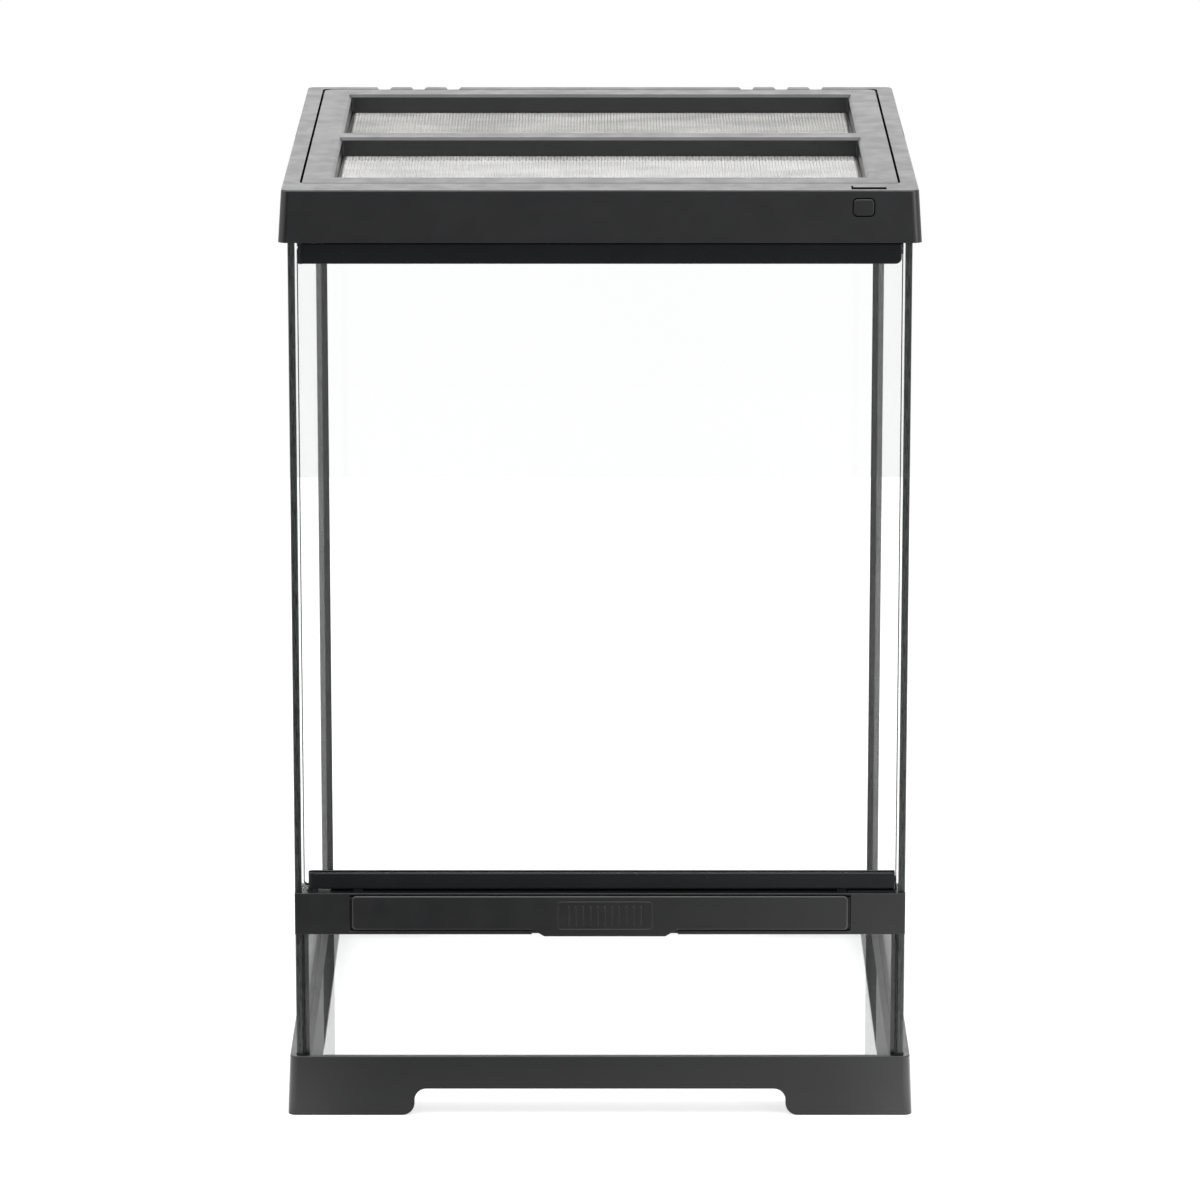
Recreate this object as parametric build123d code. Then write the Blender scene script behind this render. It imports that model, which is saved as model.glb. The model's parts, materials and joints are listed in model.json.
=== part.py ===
"""Glass terrarium with a hinged front door, a hinged mesh lid and a raised base.

Millimetres. The origin is on the floor under the middle of the tank, +Z is up,
the door faces -Y and +X is to the right of someone who faces the door.
"""

import os
from math import cos, pi, sin, sqrt

from build123d import *

# --- Driving dimensions -------------------------------------------------------

# Glass tank
TANK_WIDTH = 305.0  # over both side glasses
TANK_DEPTH = 305.0  # over the front and rear glasses
GLASS = 3.5  # thickness of the wall glasses and of the door
FLOOR_GLASS = 4.0
REAR_GLASS_HEIGHT = 435.0
CABLE_PASS = 15.0  # the sides stand this much higher than the rear glass, so that cables pass over it
SIDE_GLASS_HEIGHT = REAR_GLASS_HEIGHT + CABLE_PASS
FRONT_GLASS_HEIGHT = 82.1
GLASS_JOINT = 0.5  # sealant between the edge of one glass and the face of the next
BEAD = 3.0  # leg of a sealant bead
BEAD_LAND = 0.3  # blunt edge of the bead round the floor
SEALANT = 0.3  # gap between a glass and the plastic frames

# Base frame
SEAT_HEIGHT = 19.4  # underside of the glasses above the floor
BASE_HEIGHT = 30.5
FOOT_OVERHANG = 4.5  # base beyond the glass at the floor
RIM_OVERHANG = 3.3  # base beyond the glass at its top
BASE_WALL = 2.6
SEAT_THICKNESS = 2.9
SEAT_WIDTH = 12.0
FRAME_CORNER = 4.0  # upright corners of the base and of the top frame
FOOT_LENGTH = 63.7
ARCH_HEIGHT = 13.7
FOOT_ROUND = 6.3
ARCH_ROUND = 5.9
RIM_ROUND = 0.6

# Top frame
PLATE = 2.2
SKIRT = 2.2
SKIRT_HEIGHT = 25.7
SKIRT_OVERHANG = 4.5  # skirt beyond the glass at its lower edge
PLATE_OVERHANG = 2.85  # top frame beyond the glass at its top
FRONT_RIM = 16.7  # from the front of the tank to the lid opening
REAR_RIM = 4.1  # from the rear of the tank to the lid opening
INNER_WALL = 1.6
FRONT_INNER_WALL = 1.8
LEDGE = 2.0
LEDGE_WIDTH = 4.0
LEDGE_REAR_GAP = 12.0  # the ledge stops this far in front of the lid's axis
PLATE_ROUND = 0.8
COVER = 2.0  # thickness of the cover under the front rail

# Cable notches in the rear rim, and the gates that shut them
NOTCH_COUNT = 3  # each side
NOTCH_PITCH = 18.3
NOTCH_OUTER_INSET = 37.9  # middle of the outermost notch in from the side of the tank
NOTCH_INNER_PLACE = TANK_WIDTH / 2 - NOTCH_OUTER_INSET - (NOTCH_COUNT - 1) * NOTCH_PITCH
NOTCH_MOUTH = 8.4
NOTCH_THROAT = 6.0
NOTCH_DEPTH = 10.0  # down from the top
GATE = 1.6
GATE_GAP = 0.3
GATE_HEIGHT = 9.6
GATE_MARGIN = 6.5  # gate beyond the outline of its end notches
GATE_TAB = 6.0
GATE_TAB_HEIGHT = 3.4
GATE_TAB_REACH = 0.6  # thumb tab beyond the skirt
GATE_TAB_ROOM = 3.0  # between the last notch and the thumb slot
GATE_TAB_DROP = 2.2  # top of the tab below the top of the gate
GATE_END = 1.0  # gate beyond its tab
GATE_CLIP = 5.0
RAIL = 1.4

# Lid
LID_GAP = 1.0
LID_HEIGHT = 11.6
LID_WALL = 2.2
LID_SKIN = 2.2
LID_SIDE_RAIL = 14.9
LID_REAR_RAIL = 18.0
LID_FRONT_RAIL = 16.5
CROSSBAR = 15.1
FRONT_WINDOW = 114.1  # front to rear
WINDOW_CHAMFER = 1.4
WINDOW_CORNER = 1.0
LID_FRONT_CORNER = 3.0
LID_REAR_CORNER = 5.0
OPENING_REAR_CORNER = 3.0  # sharper than the lid's, for the swing of its corners
LID_REST = 0.3  # lid above its ledge
LID_ROUND = 0.5
LID_AXIS_INSET = 2.9  # hinge axis in front of the lid's rear edge
LID_AXIS_DROP = 2.6  # hinge axis below the top
LID_PIN_RADIUS = 1.25
LID_PIN_LENGTH = 9.5
LID_PIN_END_GAP = 0.5
LID_BOSS = 3.0  # plastic each side of the pin
RUNNING = 0.05  # radial clearance of a pin in its socket
MESH = 0.4
MESH_LAP = 1.5  # mesh beyond the wall of its window
MESH_STRAND = 1.7  # leaves as much open as fine woven wire does
MESH_COLUMNS = 24
MESH_ROWS = 12
RETAINER = 1.6
RETAINER_LIP = 1.0  # retainer inside the edge of the window
RETAINER_GAP = 0.2
POST_RADIUS = 2.4
POST_PITCH = 84.0

# Lid catch and button
BUTTON_PLACE = 24.1  # button's middle in from the side of the tank
BUTTON_DROP = 8.3  # button's middle below the top
BUTTON_WIDTH = 9.9
BUTTON_HEIGHT = 8.0
BUTTON_GAP = 0.65
BUTTON_CORNER = 1.8
BUTTON_PROUD = 0.5
BUTTON_ROUND = 0.5
FLANGE = 1.8
FLANGE_GAP = 0.35
FLANGE_LAP = 1.8  # flange beyond its hole, each side
CATCH_GAP = 0.4
CATCH_WIDTH = 8.0
CATCH_LEG = 2.0
CATCH_NOSE = 2.2
CATCH_NOSE_HEIGHT = 1.6
CATCH_DROP = 9.0  # leg below the lid
FORK_DROP = 3.5  # fork below the lid
PRONG = 2.0
PRONG_HEIGHT = 4.0
PRONG_GAP = 1.2
GUIDE_GAP = 0.3
SPRING_WIRE = 0.6
SPRING_RADIUS = 2.2  # middle of the wire
SPRING_COILS = 5
SPRING_LEAD = 1.8  # each end turns into the axis over this length
SLOT_PLACE = 11.3  # right end of the slot from the middle of the button
SLOT_LENGTH = 16.2
SLOT_WIDTH = 6.1
SLOT_FRONT = 0.1  # slot behind the front of the tank
SLOT_HOOK = 1.0
SLOT_HOOK_REACH = 3.4

# Waist bar
BAR_HEIGHT = 21.3
BAR_LAP = 7.0  # bar below the top of the front glass
BAR_FACE = 3.3  # thickness of its front plate
BAR_WALL = 1.8
BAR_TOP = 2.0
BAR_LIP = 2.5
BAR_CHAMBER = 6.8  # front plate to rear cover
BAR_END_GAP = 0.6
VENT_SLOT = 13.0
VENT_PITCH = 17.0
VENT_COUNT = 12
VENT_HEIGHT = 6.5
VENT_RISE = 1.2  # above the web
BACK = 1.8
BACK_RISE = 2.5  # rear cover above the foot of the bar
VENT_MESH_LAP = 4.0
VENT_STRAND = 1.0
LOWER_STOP = 6.2  # door stop above the bar
UPPER_STOP = 7.4  # door stop below the top frame
STOP_START = 17.5  # door stops begin this far from the side of the tank
PAD_HEIGHT = 0.5  # support under the free end of the door
PAD_LENGTH = 23.0
PAD_INSET = 1.4

# Latch plate
LATCH_INSET = 28.4  # end of the latch from the side of the tank
LATCH = 2.4
LATCH_HEIGHT = 18.1
LATCH_TOP_GAP = 0.5
LATCH_END_GAP = 1.0
LATCH_FOOT_GAP = 0.3
LATCH_BACK_GAP = 0.4
LATCH_RECESS = 2.3
LATCH_RECESS_TOP = 0.7  # top of the recess below the top of the bar
LATCH_CORNER = 2.4
LATCH_ROUND = 1.2
LATCH_HEEL = 1.1
LATCH_AXIS_DEPTH = 1.6  # behind the face of the latch
LATCH_AXIS_DROP = 1.5  # below the top of the latch
LATCH_PIN_RADIUS = 0.6
LATCH_PIN_GRIP = 6.0
LATCH_PIN_REACH = 1.9  # into the bar
PULL_PLACE = 2.4  # middle of the finger pull and badge, right of the middle of the latch
PULL_WIDTH = 70.4
PULL_FOOT = 60.4
PULL_DROP = 3.0
PULL_GAP = 1.3
ARM_INSET = 0.9  # arm from the end of the latch
ARM_WIDTH = 4.6
ARM_HEIGHT = 3.0
ARM_DROP = 7.6  # underside of the arm below the top of the latch
ARM_GAP = 0.3
ARM_SWING = 2.2  # window below the arm, for its swing
TOOTH = 2.4
TOOTH_BACK = 5.4  # rear of the tooth behind the back of the latch
TOOTH_TIP_GAP = 0.3
TOOTH_SWING = 1.4  # slot behind the tooth, for its swing
BADGE_WIDTH = 48.0
BADGE_HEIGHT = 15.0
BADGE_BORDER = 0.8
BADGE_CORNER = 2.0
BADGE_PROUD = 0.3
BADGE_DROP = 10.4  # middle of the badge below the top of the latch
RIB = 0.8
RIB_PITCH = 3.6
RIB_COUNT = 11
RIB_HEIGHT = 10.0

# Door
DOOR_SIDE_GAP = 0.9
DOOR_END_GAP = 1.1  # above and below the door
DOOR_DEPTH = 6.2  # front to rear over the rails
DOOR_SETBACK = 0.0  # face of the rails behind the front of the tank
GLASS_SETBACK = 1.3  # face of the door glass behind the face of the rails
RAIL_WEB = 1.8
LOWER_RAIL_HEIGHT = 8.5
UPPER_RAIL_HEIGHT = 10.2
RAIL_END_INSET = 0.8
LOWER_RAIL_INSET = 1.9
RAIL_FOOT_ROUND = 3.0
DOOR_CORNER = 2.0
DOOR_AXIS_INSET = 5.2  # hinge axis from the inside of the side glass
DOOR_PIN_RADIUS = 1.5
DOOR_PIN_DEPTH = 5.0  # into the socket
PIN_HEAD = 0.8
PIN_HEAD_RADIUS = 2.2
SOCKET_RADIUS = 3.0
SOCKET_FLOOR = 1.0
SOCKET_COLLAR = 0.8  # collar above the bar, under the door

# --- Places worked out from them ----------------------------------------------

side = TANK_WIDTH / 2
side_in = side - GLASS
front = -TANK_DEPTH / 2
front_in = front + GLASS
rear = TANK_DEPTH / 2
rear_in = rear - GLASS

glass_top = SEAT_HEIGHT + SIDE_GLASS_HEIGHT
top = glass_top + PLATE
skirt_foot = top - SKIRT_HEIGHT
floor_top = SEAT_HEIGHT + FLOOR_GLASS

opening_side = side_in - SEALANT - INNER_WALL
opening_front = front + FRONT_RIM
opening_rear = rear - REAR_RIM

lid_side = opening_side - LID_GAP
lid_front = opening_front + LID_GAP
lid_rear = opening_rear - LID_GAP
lid_foot = top - LID_HEIGHT
lid_axis_y = lid_rear - LID_AXIS_INSET
lid_axis_z = top - LID_AXIS_DROP
mesh_foot = lid_foot + RETAINER
mesh_top = mesh_foot + MESH
window_side = lid_side - LID_SIDE_RAIL
window_front = lid_front + LID_FRONT_RAIL
window_rear = lid_rear - LID_REAR_RAIL
windows = {
    "front": (window_front, window_front + FRONT_WINDOW),
    "rear": (window_front + FRONT_WINDOW + CROSSBAR, window_rear),
}
ledge_top = lid_foot - LID_REST
ledge_foot = ledge_top - LEDGE

bar_foot = SEAT_HEIGHT + FRONT_GLASS_HEIGHT - BAR_LAP
bar_top = bar_foot + BAR_HEIGHT
bar_back = front - SEALANT
bar_face = bar_back - BAR_FACE
web_foot = bar_foot + BAR_LAP
web_top = web_foot + BAR_WALL
cover_face = bar_back + BAR_CHAMBER
bar_side = side_in - BAR_END_GAP

latch_side = side - LATCH_INSET
recess_floor = bar_face + LATCH_RECESS
latch_back = recess_floor - LATCH_BACK_GAP
latch_face = latch_back - LATCH
recess_top = bar_top - LATCH_RECESS_TOP
latch_top = recess_top - LATCH_TOP_GAP
latch_foot = latch_top - LATCH_HEIGHT
latch_axis_y = latch_face + LATCH_AXIS_DEPTH
latch_axis_z = latch_top - LATCH_AXIS_DROP
arm_foot = latch_top - ARM_DROP
arm_x = latch_side - ARM_INSET - ARM_WIDTH / 2
tooth_back = latch_back + TOOTH_BACK

door_foot = bar_top + DOOR_END_GAP
door_top = skirt_foot - DOOR_END_GAP
door_face = front + DOOR_SETBACK
door_back = door_face + DOOR_DEPTH
door_mid = (door_face + door_back) / 2
door_side = side_in - DOOR_SIDE_GAP
door_axis_x = -(side_in - DOOR_AXIS_INSET)
pane_face = door_face + GLASS_SETBACK
pane_foot = door_foot + RAIL_WEB
pane_top = door_top - RAIL_WEB

button_x = side - BUTTON_PLACE
button_z = top - BUTTON_DROP
inner_wall_face = opening_front - FRONT_INNER_WALL


def skirt_overhang(z):
    """How far the top frame stands out from the glass at height z."""
    share = (z - skirt_foot) / SKIRT_HEIGHT
    return SKIRT_OVERHANG + (PLATE_OVERHANG - SKIRT_OVERHANG) * share


def base_overhang(z):
    """How far the base frame stands out from the glass at height z."""
    return FOOT_OVERHANG + (RIM_OVERHANG - FOOT_OVERHANG) * z / BASE_HEIGHT


# --- Shapes that several pieces use -------------------------------------------


def block(x0, x1, y0, y1, z0, z1):
    """Box between two corners."""
    middle = Pos((x0 + x1) / 2, (y0 + y1) / 2, (z0 + z1) / 2)
    return middle * Box(abs(x1 - x0), abs(y1 - y0), abs(z1 - z0))


def both_sides(piece):
    """A piece and its mirror image on the other side of the tank."""
    return piece + mirror(piece, Plane.YZ)


def tapered(low, z0, high, z1, corner):
    """Four-sided solid round the tank that stands out by low at z0 and by high at z1."""
    sections = [
        Pos(0, 0, z) * RectangleRounded(TANK_WIDTH + 2 * out, TANK_DEPTH + 2 * out, corner)
        for out, z in ((low, z0), (high, z1))
    ]
    return loft(sections, ruled=True)


def plan(x0, x1, y0, y1, front_corner, rear_corner):
    """Flat outline with its own corner radius at the front and at the rear."""
    outline = Pos((x0 + x1) / 2, (y0 + y1) / 2) * Rectangle(x1 - x0, y1 - y0)
    outline = fillet(outline.vertices().group_by(Axis.Y)[0], front_corner)
    return fillet(outline.vertices().group_by(Axis.Y)[-1], rear_corner)


def slab(outline, z0, z1):
    """Flat outline raised between two heights."""
    return extrude(Pos(0, 0, z0) * outline, z1 - z0)


def rod_x(x0, x1, y, z, radius):
    """Round rod along X."""
    turned = Pos((x0 + x1) / 2, y, z) * Rot(0, 90, 0)
    return turned * Cylinder(radius, abs(x1 - x0))


def rod_z(x, y, z0, z1, radius):
    """Upright round rod."""
    return Pos(x, y, (z0 + z1) / 2) * Cylinder(radius, z1 - z0)


def net(width, height, columns, rows, strand):
    """Flat net in the XY plane, centred, one holed face raised by the mesh thickness."""
    pitch_x = (width - strand) / columns
    pitch_y = (height - strand) / rows
    gap = Rectangle(pitch_x - strand, pitch_y - strand)
    gaps = [place * gap for place in GridLocations(pitch_x, pitch_y, columns, rows)]
    return extrude(Rectangle(width, height) - gaps, MESH)


# --- Glass tank ---------------------------------------------------------------


def side_glass(hand):
    """Side glass, the full depth of the tank: hand is -1 at the left, 1 at the right."""
    edges = sorted((hand * side_in, hand * side))
    return block(*edges, front, rear, SEAT_HEIGHT, glass_top)


def rear_glass():
    """Rear glass between the side glasses."""
    edge = side_in - GLASS_JOINT
    return block(-edge, edge, rear_in, rear, SEAT_HEIGHT, SEAT_HEIGHT + REAR_GLASS_HEIGHT)


def front_lower_glass():
    """Low front glass that holds the substrate in."""
    edge = side_in - GLASS_JOINT
    return block(-edge, edge, front, front_in, SEAT_HEIGHT, SEAT_HEIGHT + FRONT_GLASS_HEIGHT)


def floor_glass():
    """Floor glass inside the walls."""
    x, y = side_in - GLASS_JOINT, rear_in - GLASS_JOINT
    return block(-x, x, -y, y, SEAT_HEIGHT, floor_top)


def upright_bead(z1):
    """Sealant in a rear corner, which fills the joint and beads inside it."""
    joint = side_in - GLASS_JOINT
    outline = Polyline(
        (side_in, rear_in - BEAD),
        (side_in, rear),
        (joint, rear),
        (joint, rear_in),
        (side_in - BEAD, rear_in),
        close=True,
    )
    return slab(make_face(outline), floor_top + BEAD, z1)


def rear_corner_silicone():
    """Sealant in both rear corners."""
    return both_sides(upright_bead(SEAT_HEIGHT + REAR_GLASS_HEIGHT))


def front_corner_silicone():
    """Sealant in both front corners, up to the waist bar."""
    return both_sides(mirror(upright_bead(bar_foot), Plane.XZ))


def floor_silicone():
    """Sealant bead round the floor, at 45 degrees."""
    ring = block(-side_in, side_in, front_in, rear_in, floor_top, floor_top + BEAD)
    low = Pos(0, 0, floor_top) * Rectangle(2 * (side_in - BEAD), 2 * (rear_in - BEAD))
    high = Pos(0, 0, floor_top + BEAD) * Rectangle(
        2 * (side_in - BEAD_LAND), 2 * (rear_in - BEAD_LAND)
    )
    return ring - loft([low, high], ruled=True)


# --- Base frame ---------------------------------------------------------------


def arch_cutter(half_width, reach):
    """Cutter along Y for the arches between the feet."""
    half = half_width + reach - FOOT_LENGTH
    foot = make_face(
        Polyline(
            (-half - FOOT_ROUND, 0),
            (half + FOOT_ROUND, 0),
            (half, FOOT_ROUND),
            (half, ARCH_HEIGHT),
            (-half, ARCH_HEIGHT),
            (-half, FOOT_ROUND),
            close=True,
        )
    )
    foot -= [Pos(x, FOOT_ROUND) * Circle(FOOT_ROUND) for x in (-half - FOOT_ROUND, half + FOOT_ROUND)]
    corners = foot.vertices().group_by(Axis.Y)[-1]
    foot = fillet(corners, ARCH_ROUND)
    return extrude(Plane.XZ * foot, TANK_DEPTH + TANK_WIDTH, both=True)


def base_frame():
    """Raised base: a seat for the glass, a rim round it and a foot at each corner."""
    frame = tapered(FOOT_OVERHANG, 0, RIM_OVERHANG, BASE_HEIGHT, FRAME_CORNER)
    frame = fillet(frame.edges().group_by(Axis.Z)[-1], RIM_ROUND)
    seat_foot = SEAT_HEIGHT - SEAT_THICKNESS
    frame -= tapered(
        FOOT_OVERHANG - BASE_WALL, 0, base_overhang(seat_foot) - BASE_WALL, seat_foot, FRAME_CORNER / 2
    )
    x, y = side + SEALANT, rear + SEALANT
    frame -= block(-x, x, -y, y, SEAT_HEIGHT, BASE_HEIGHT)
    x, y = side - SEAT_WIDTH, rear - SEAT_WIDTH
    frame -= block(-x, x, -y, y, 0, BASE_HEIGHT)
    frame -= arch_cutter(side, FOOT_OVERHANG)
    frame -= Rot(0, 0, 90) * arch_cutter(rear, FOOT_OVERHANG)
    return frame


# --- Top frame ----------------------------------------------------------------


def notch_places():
    """Middle of each cable notch on the right-hand side."""
    return [NOTCH_INNER_PLACE + i * NOTCH_PITCH for i in range(NOTCH_COUNT)]


def notch_cutter(x, shift=0.0):
    """Cutter for one cable notch: wide at the rear, narrow at the lid."""
    mouth = rear + skirt_overhang(top)
    past = rear + SKIRT_OVERHANG
    outline = Polyline(
        (-NOTCH_THROAT / 2, opening_rear - LID_GAP / 2),
        (NOTCH_THROAT / 2, opening_rear - LID_GAP / 2),
        (NOTCH_MOUTH / 2, mouth),
        (NOTCH_MOUTH / 2, past),
        (-NOTCH_MOUTH / 2, past),
        (-NOTCH_MOUTH / 2, mouth),
        close=True,
    )
    return Pos(x + shift, 0) * slab(make_face(outline), top - NOTCH_DEPTH, top)


def gate_ends():
    """Inner end and outer end of the right-hand gate, when it is open."""
    places = notch_places()
    margin = NOTCH_MOUTH / 2 + GATE_MARGIN
    tab = places[-1] + NOTCH_MOUTH / 2 + NOTCH_PITCH / 2 + GATE_TAB_ROOM + GATE_TAB
    return places[0] - margin, tab + GATE_END


gate_top = glass_top - GATE_GAP
gate_foot = gate_top - GATE_HEIGHT
gate_back = rear + skirt_overhang(glass_top) - SKIRT - 2 * GATE_GAP
gate_front = opening_rear + GATE_GAP
tab_z = gate_top - GATE_TAB_DROP


def gate_rails():
    """Rail under the right-hand gate, its end stop and the clips between the notches."""
    inner, outer = gate_ends()
    x0, x1 = inner - NOTCH_PITCH / 2 - GATE_GAP, outer + GATE_GAP + RAIL
    wall = rear + skirt_overhang(gate_foot) - SKIRT / 2
    rail_top = gate_foot - GATE_GAP
    rail_foot = rail_top - RAIL
    rails = block(x0, x1, gate_back - GATE, wall, rail_foot, rail_top)
    rails += block(x1 - RAIL, x1, gate_back - GATE, wall, rail_top, glass_top)
    clip_back = gate_back - GATE - GATE_GAP
    clip_top = top - NOTCH_DEPTH - GATE_GAP
    for i in range(NOTCH_COUNT + 1):
        x = NOTCH_INNER_PLACE + (i - 0.5) * NOTCH_PITCH
        edges = (x - GATE_CLIP / 2, x + GATE_CLIP / 2)
        rails += block(*edges, clip_back - RAIL, gate_back, rail_foot, rail_top)
        rails += block(*edges, clip_back - RAIL, clip_back, rail_top, clip_top)
    return rails


def top_frame():
    """Skirt and top plate, the lid's ledge, and the front box that holds the button."""
    frame = tapered(SKIRT_OVERHANG, skirt_foot, PLATE_OVERHANG, top, FRAME_CORNER)
    frame = fillet(frame.edges().group_by(Axis.Z)[-1], PLATE_ROUND)
    frame -= tapered(
        SKIRT_OVERHANG - SKIRT,
        skirt_foot,
        skirt_overhang(glass_top) - SKIRT,
        glass_top,
        FRAME_CORNER / 2,
    )
    wall_side = opening_side + INNER_WALL
    walls = block(-wall_side, wall_side, inner_wall_face, opening_rear, ledge_foot, glass_top)
    walls += block(-wall_side, wall_side, inner_wall_face, opening_front, skirt_foot + COVER, glass_top)
    frame += walls
    opening = plan(
        -opening_side,
        opening_side,
        opening_front,
        opening_rear,
        LID_FRONT_CORNER + LID_GAP,
        OPENING_REAR_CORNER,
    )
    frame -= slab(opening, ledge_top, top)
    ledge_end = lid_axis_y - LEDGE_REAR_GAP
    well = block(
        LEDGE_WIDTH - opening_side,
        opening_side - LEDGE_WIDTH,
        opening_front + LEDGE_WIDTH,
        opening_rear,
        ledge_foot,
        ledge_top,
    )
    well += slab(opening, ledge_foot, ledge_top) & block(-side, side, ledge_end, rear, ledge_foot, ledge_top)
    frame -= well
    frame += both_sides(gate_rails())
    frame -= both_sides(Part() + [notch_cutter(x) for x in notch_places()])
    frame -= both_sides(thumb_slot())
    frame -= lid_sockets()
    frame -= button_hole() + top_slot() + catch_window()
    return frame


def thumb_slot():
    """Slot in the rear skirt for the thumb tab of the right-hand gate."""
    outer = gate_ends()[1] - GATE_END
    return block(
        outer - GATE_TAB - NOTCH_PITCH / 2 - GATE_GAP,
        outer + GATE_GAP,
        gate_back,
        rear + SKIRT_OVERHANG,
        tab_z - GATE_TAB_HEIGHT - GATE_GAP,
        tab_z + GATE_GAP,
    )


def lid_sockets():
    """Blind sockets in the side walls for the lid's hinge pins."""
    end = opening_side + INNER_WALL
    start = opening_side - OPENING_REAR_CORNER
    radius = LID_PIN_RADIUS + RUNNING
    return both_sides(rod_x(start, end, lid_axis_y, lid_axis_z, radius))


def button_hole():
    """Hole in the front skirt round the lid button."""
    width, height = BUTTON_WIDTH + 2 * BUTTON_GAP, BUTTON_HEIGHT + 2 * BUTTON_GAP
    outline = RectangleRounded(width, height, BUTTON_CORNER + BUTTON_GAP)
    face = Plane(origin=(button_x, front, button_z), x_dir=(1, 0, 0), z_dir=(0, -1, 0))
    return extrude(face * outline, SKIRT_OVERHANG)


def top_slot():
    """Slot in the front rail above the button, with a narrow return at its left end."""
    x1 = button_x + SLOT_PLACE
    x0 = x1 - SLOT_LENGTH
    y0 = front + SLOT_FRONT
    slot = block(x0, x1, y0, y0 + SLOT_WIDTH, glass_top, top)
    hook = block(x0 - SLOT_HOOK, x0, y0, y0 + SLOT_WIDTH + SLOT_HOOK_REACH, glass_top, top)
    return slot + hook


def fork_half():
    """Half width over the prongs of the button's fork."""
    return CATCH_WIDTH / 2 + PRONG_GAP + PRONG


fork_top = lid_foot - FORK_DROP
fork_foot = fork_top - PRONG_HEIGHT


def catch_window():
    """Window in the front inner wall for the fork, and the notch in the ledge for the catch."""
    half = fork_half() + GUIDE_GAP
    window = block(
        button_x - half,
        button_x + half,
        inner_wall_face,
        opening_front,
        fork_foot - GUIDE_GAP,
        fork_top + GUIDE_GAP,
    )
    notch = block(
        button_x - half,
        button_x + half,
        opening_front,
        opening_front + LEDGE_WIDTH,
        ledge_foot,
        ledge_top,
    )
    return window + notch


def front_rail_cover():
    """Cover under the front rail, with the upper hinge socket and the upper door stop."""
    foot, level = skirt_foot, skirt_foot + COVER
    lip_front = front - skirt_overhang(level) + SKIRT + SEALANT
    cover = block(-bar_side, bar_side, lip_front, opening_front, foot, level)
    cover += block(STOP_START - side, bar_side, cover_face, cover_face + BACK, foot - UPPER_STOP, foot)
    socket_top = door_top + DOOR_END_GAP + DOOR_PIN_DEPTH + SOCKET_FLOOR
    cover += rod_z(door_axis_x, door_mid, foot, socket_top, SOCKET_RADIUS)
    bore = DOOR_PIN_RADIUS + RUNNING
    return cover - rod_z(door_axis_x, door_mid, foot, socket_top - SOCKET_FLOOR, bore)


def inlet_gate():
    """Right-hand sliding gate behind the cable notches, drawn open."""
    inner, outer = gate_ends()
    gate = block(inner, outer, gate_back - GATE, gate_back, gate_foot, gate_top)
    gate += block(inner, outer, gate_front, gate_back, gate_top - GATE, gate_top)
    tab_outer = outer - GATE_END
    reach = rear + skirt_overhang(tab_z) + GATE_TAB_REACH
    gate += block(tab_outer - GATE_TAB, tab_outer, gate_back, reach, tab_z - GATE_TAB_HEIGHT, tab_z)
    return gate - [notch_cutter(x) for x in notch_places()]


# --- Waist bar and latch ------------------------------------------------------


def vent_cutters(y0, y1):
    """Row of vent slots through the plates between y0 and y1."""
    z0 = web_top + VENT_RISE
    row = []
    for i in range(VENT_COUNT):
        x = (i - (VENT_COUNT - 1) / 2) * VENT_PITCH
        row.append(block(x - VENT_SLOT / 2, x + VENT_SLOT / 2, y0, y1, z0, z0 + VENT_HEIGHT))
    return row


def bar_recess():
    """Recess for the latch plate, open below at its finger pull."""
    half = latch_side + LATCH_END_GAP
    recess = block(-half, half, bar_face, recess_floor, latch_foot - LATCH_FOOT_GAP, recess_top)
    x0, x1 = PULL_PLACE - PULL_WIDTH / 2 - PULL_GAP, PULL_PLACE + PULL_WIDTH / 2 + PULL_GAP
    return recess + block(x0, x1, bar_face, recess_floor, bar_foot, latch_foot)


def arm_openings():
    """Window for the right-hand latch arm and slot for its tooth."""
    x0, x1 = arm_x - ARM_WIDTH / 2 - ARM_GAP, arm_x + ARM_WIDTH / 2 + ARM_GAP
    window = block(x0, x1, recess_floor, bar_back, arm_foot - ARM_SWING, arm_foot + ARM_HEIGHT + ARM_GAP)
    slot = block(
        x0, x1, tooth_back - TOOTH - ARM_GAP, tooth_back + TOOTH_SWING, bar_top - BAR_TOP, bar_top
    )
    return window + slot


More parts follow.
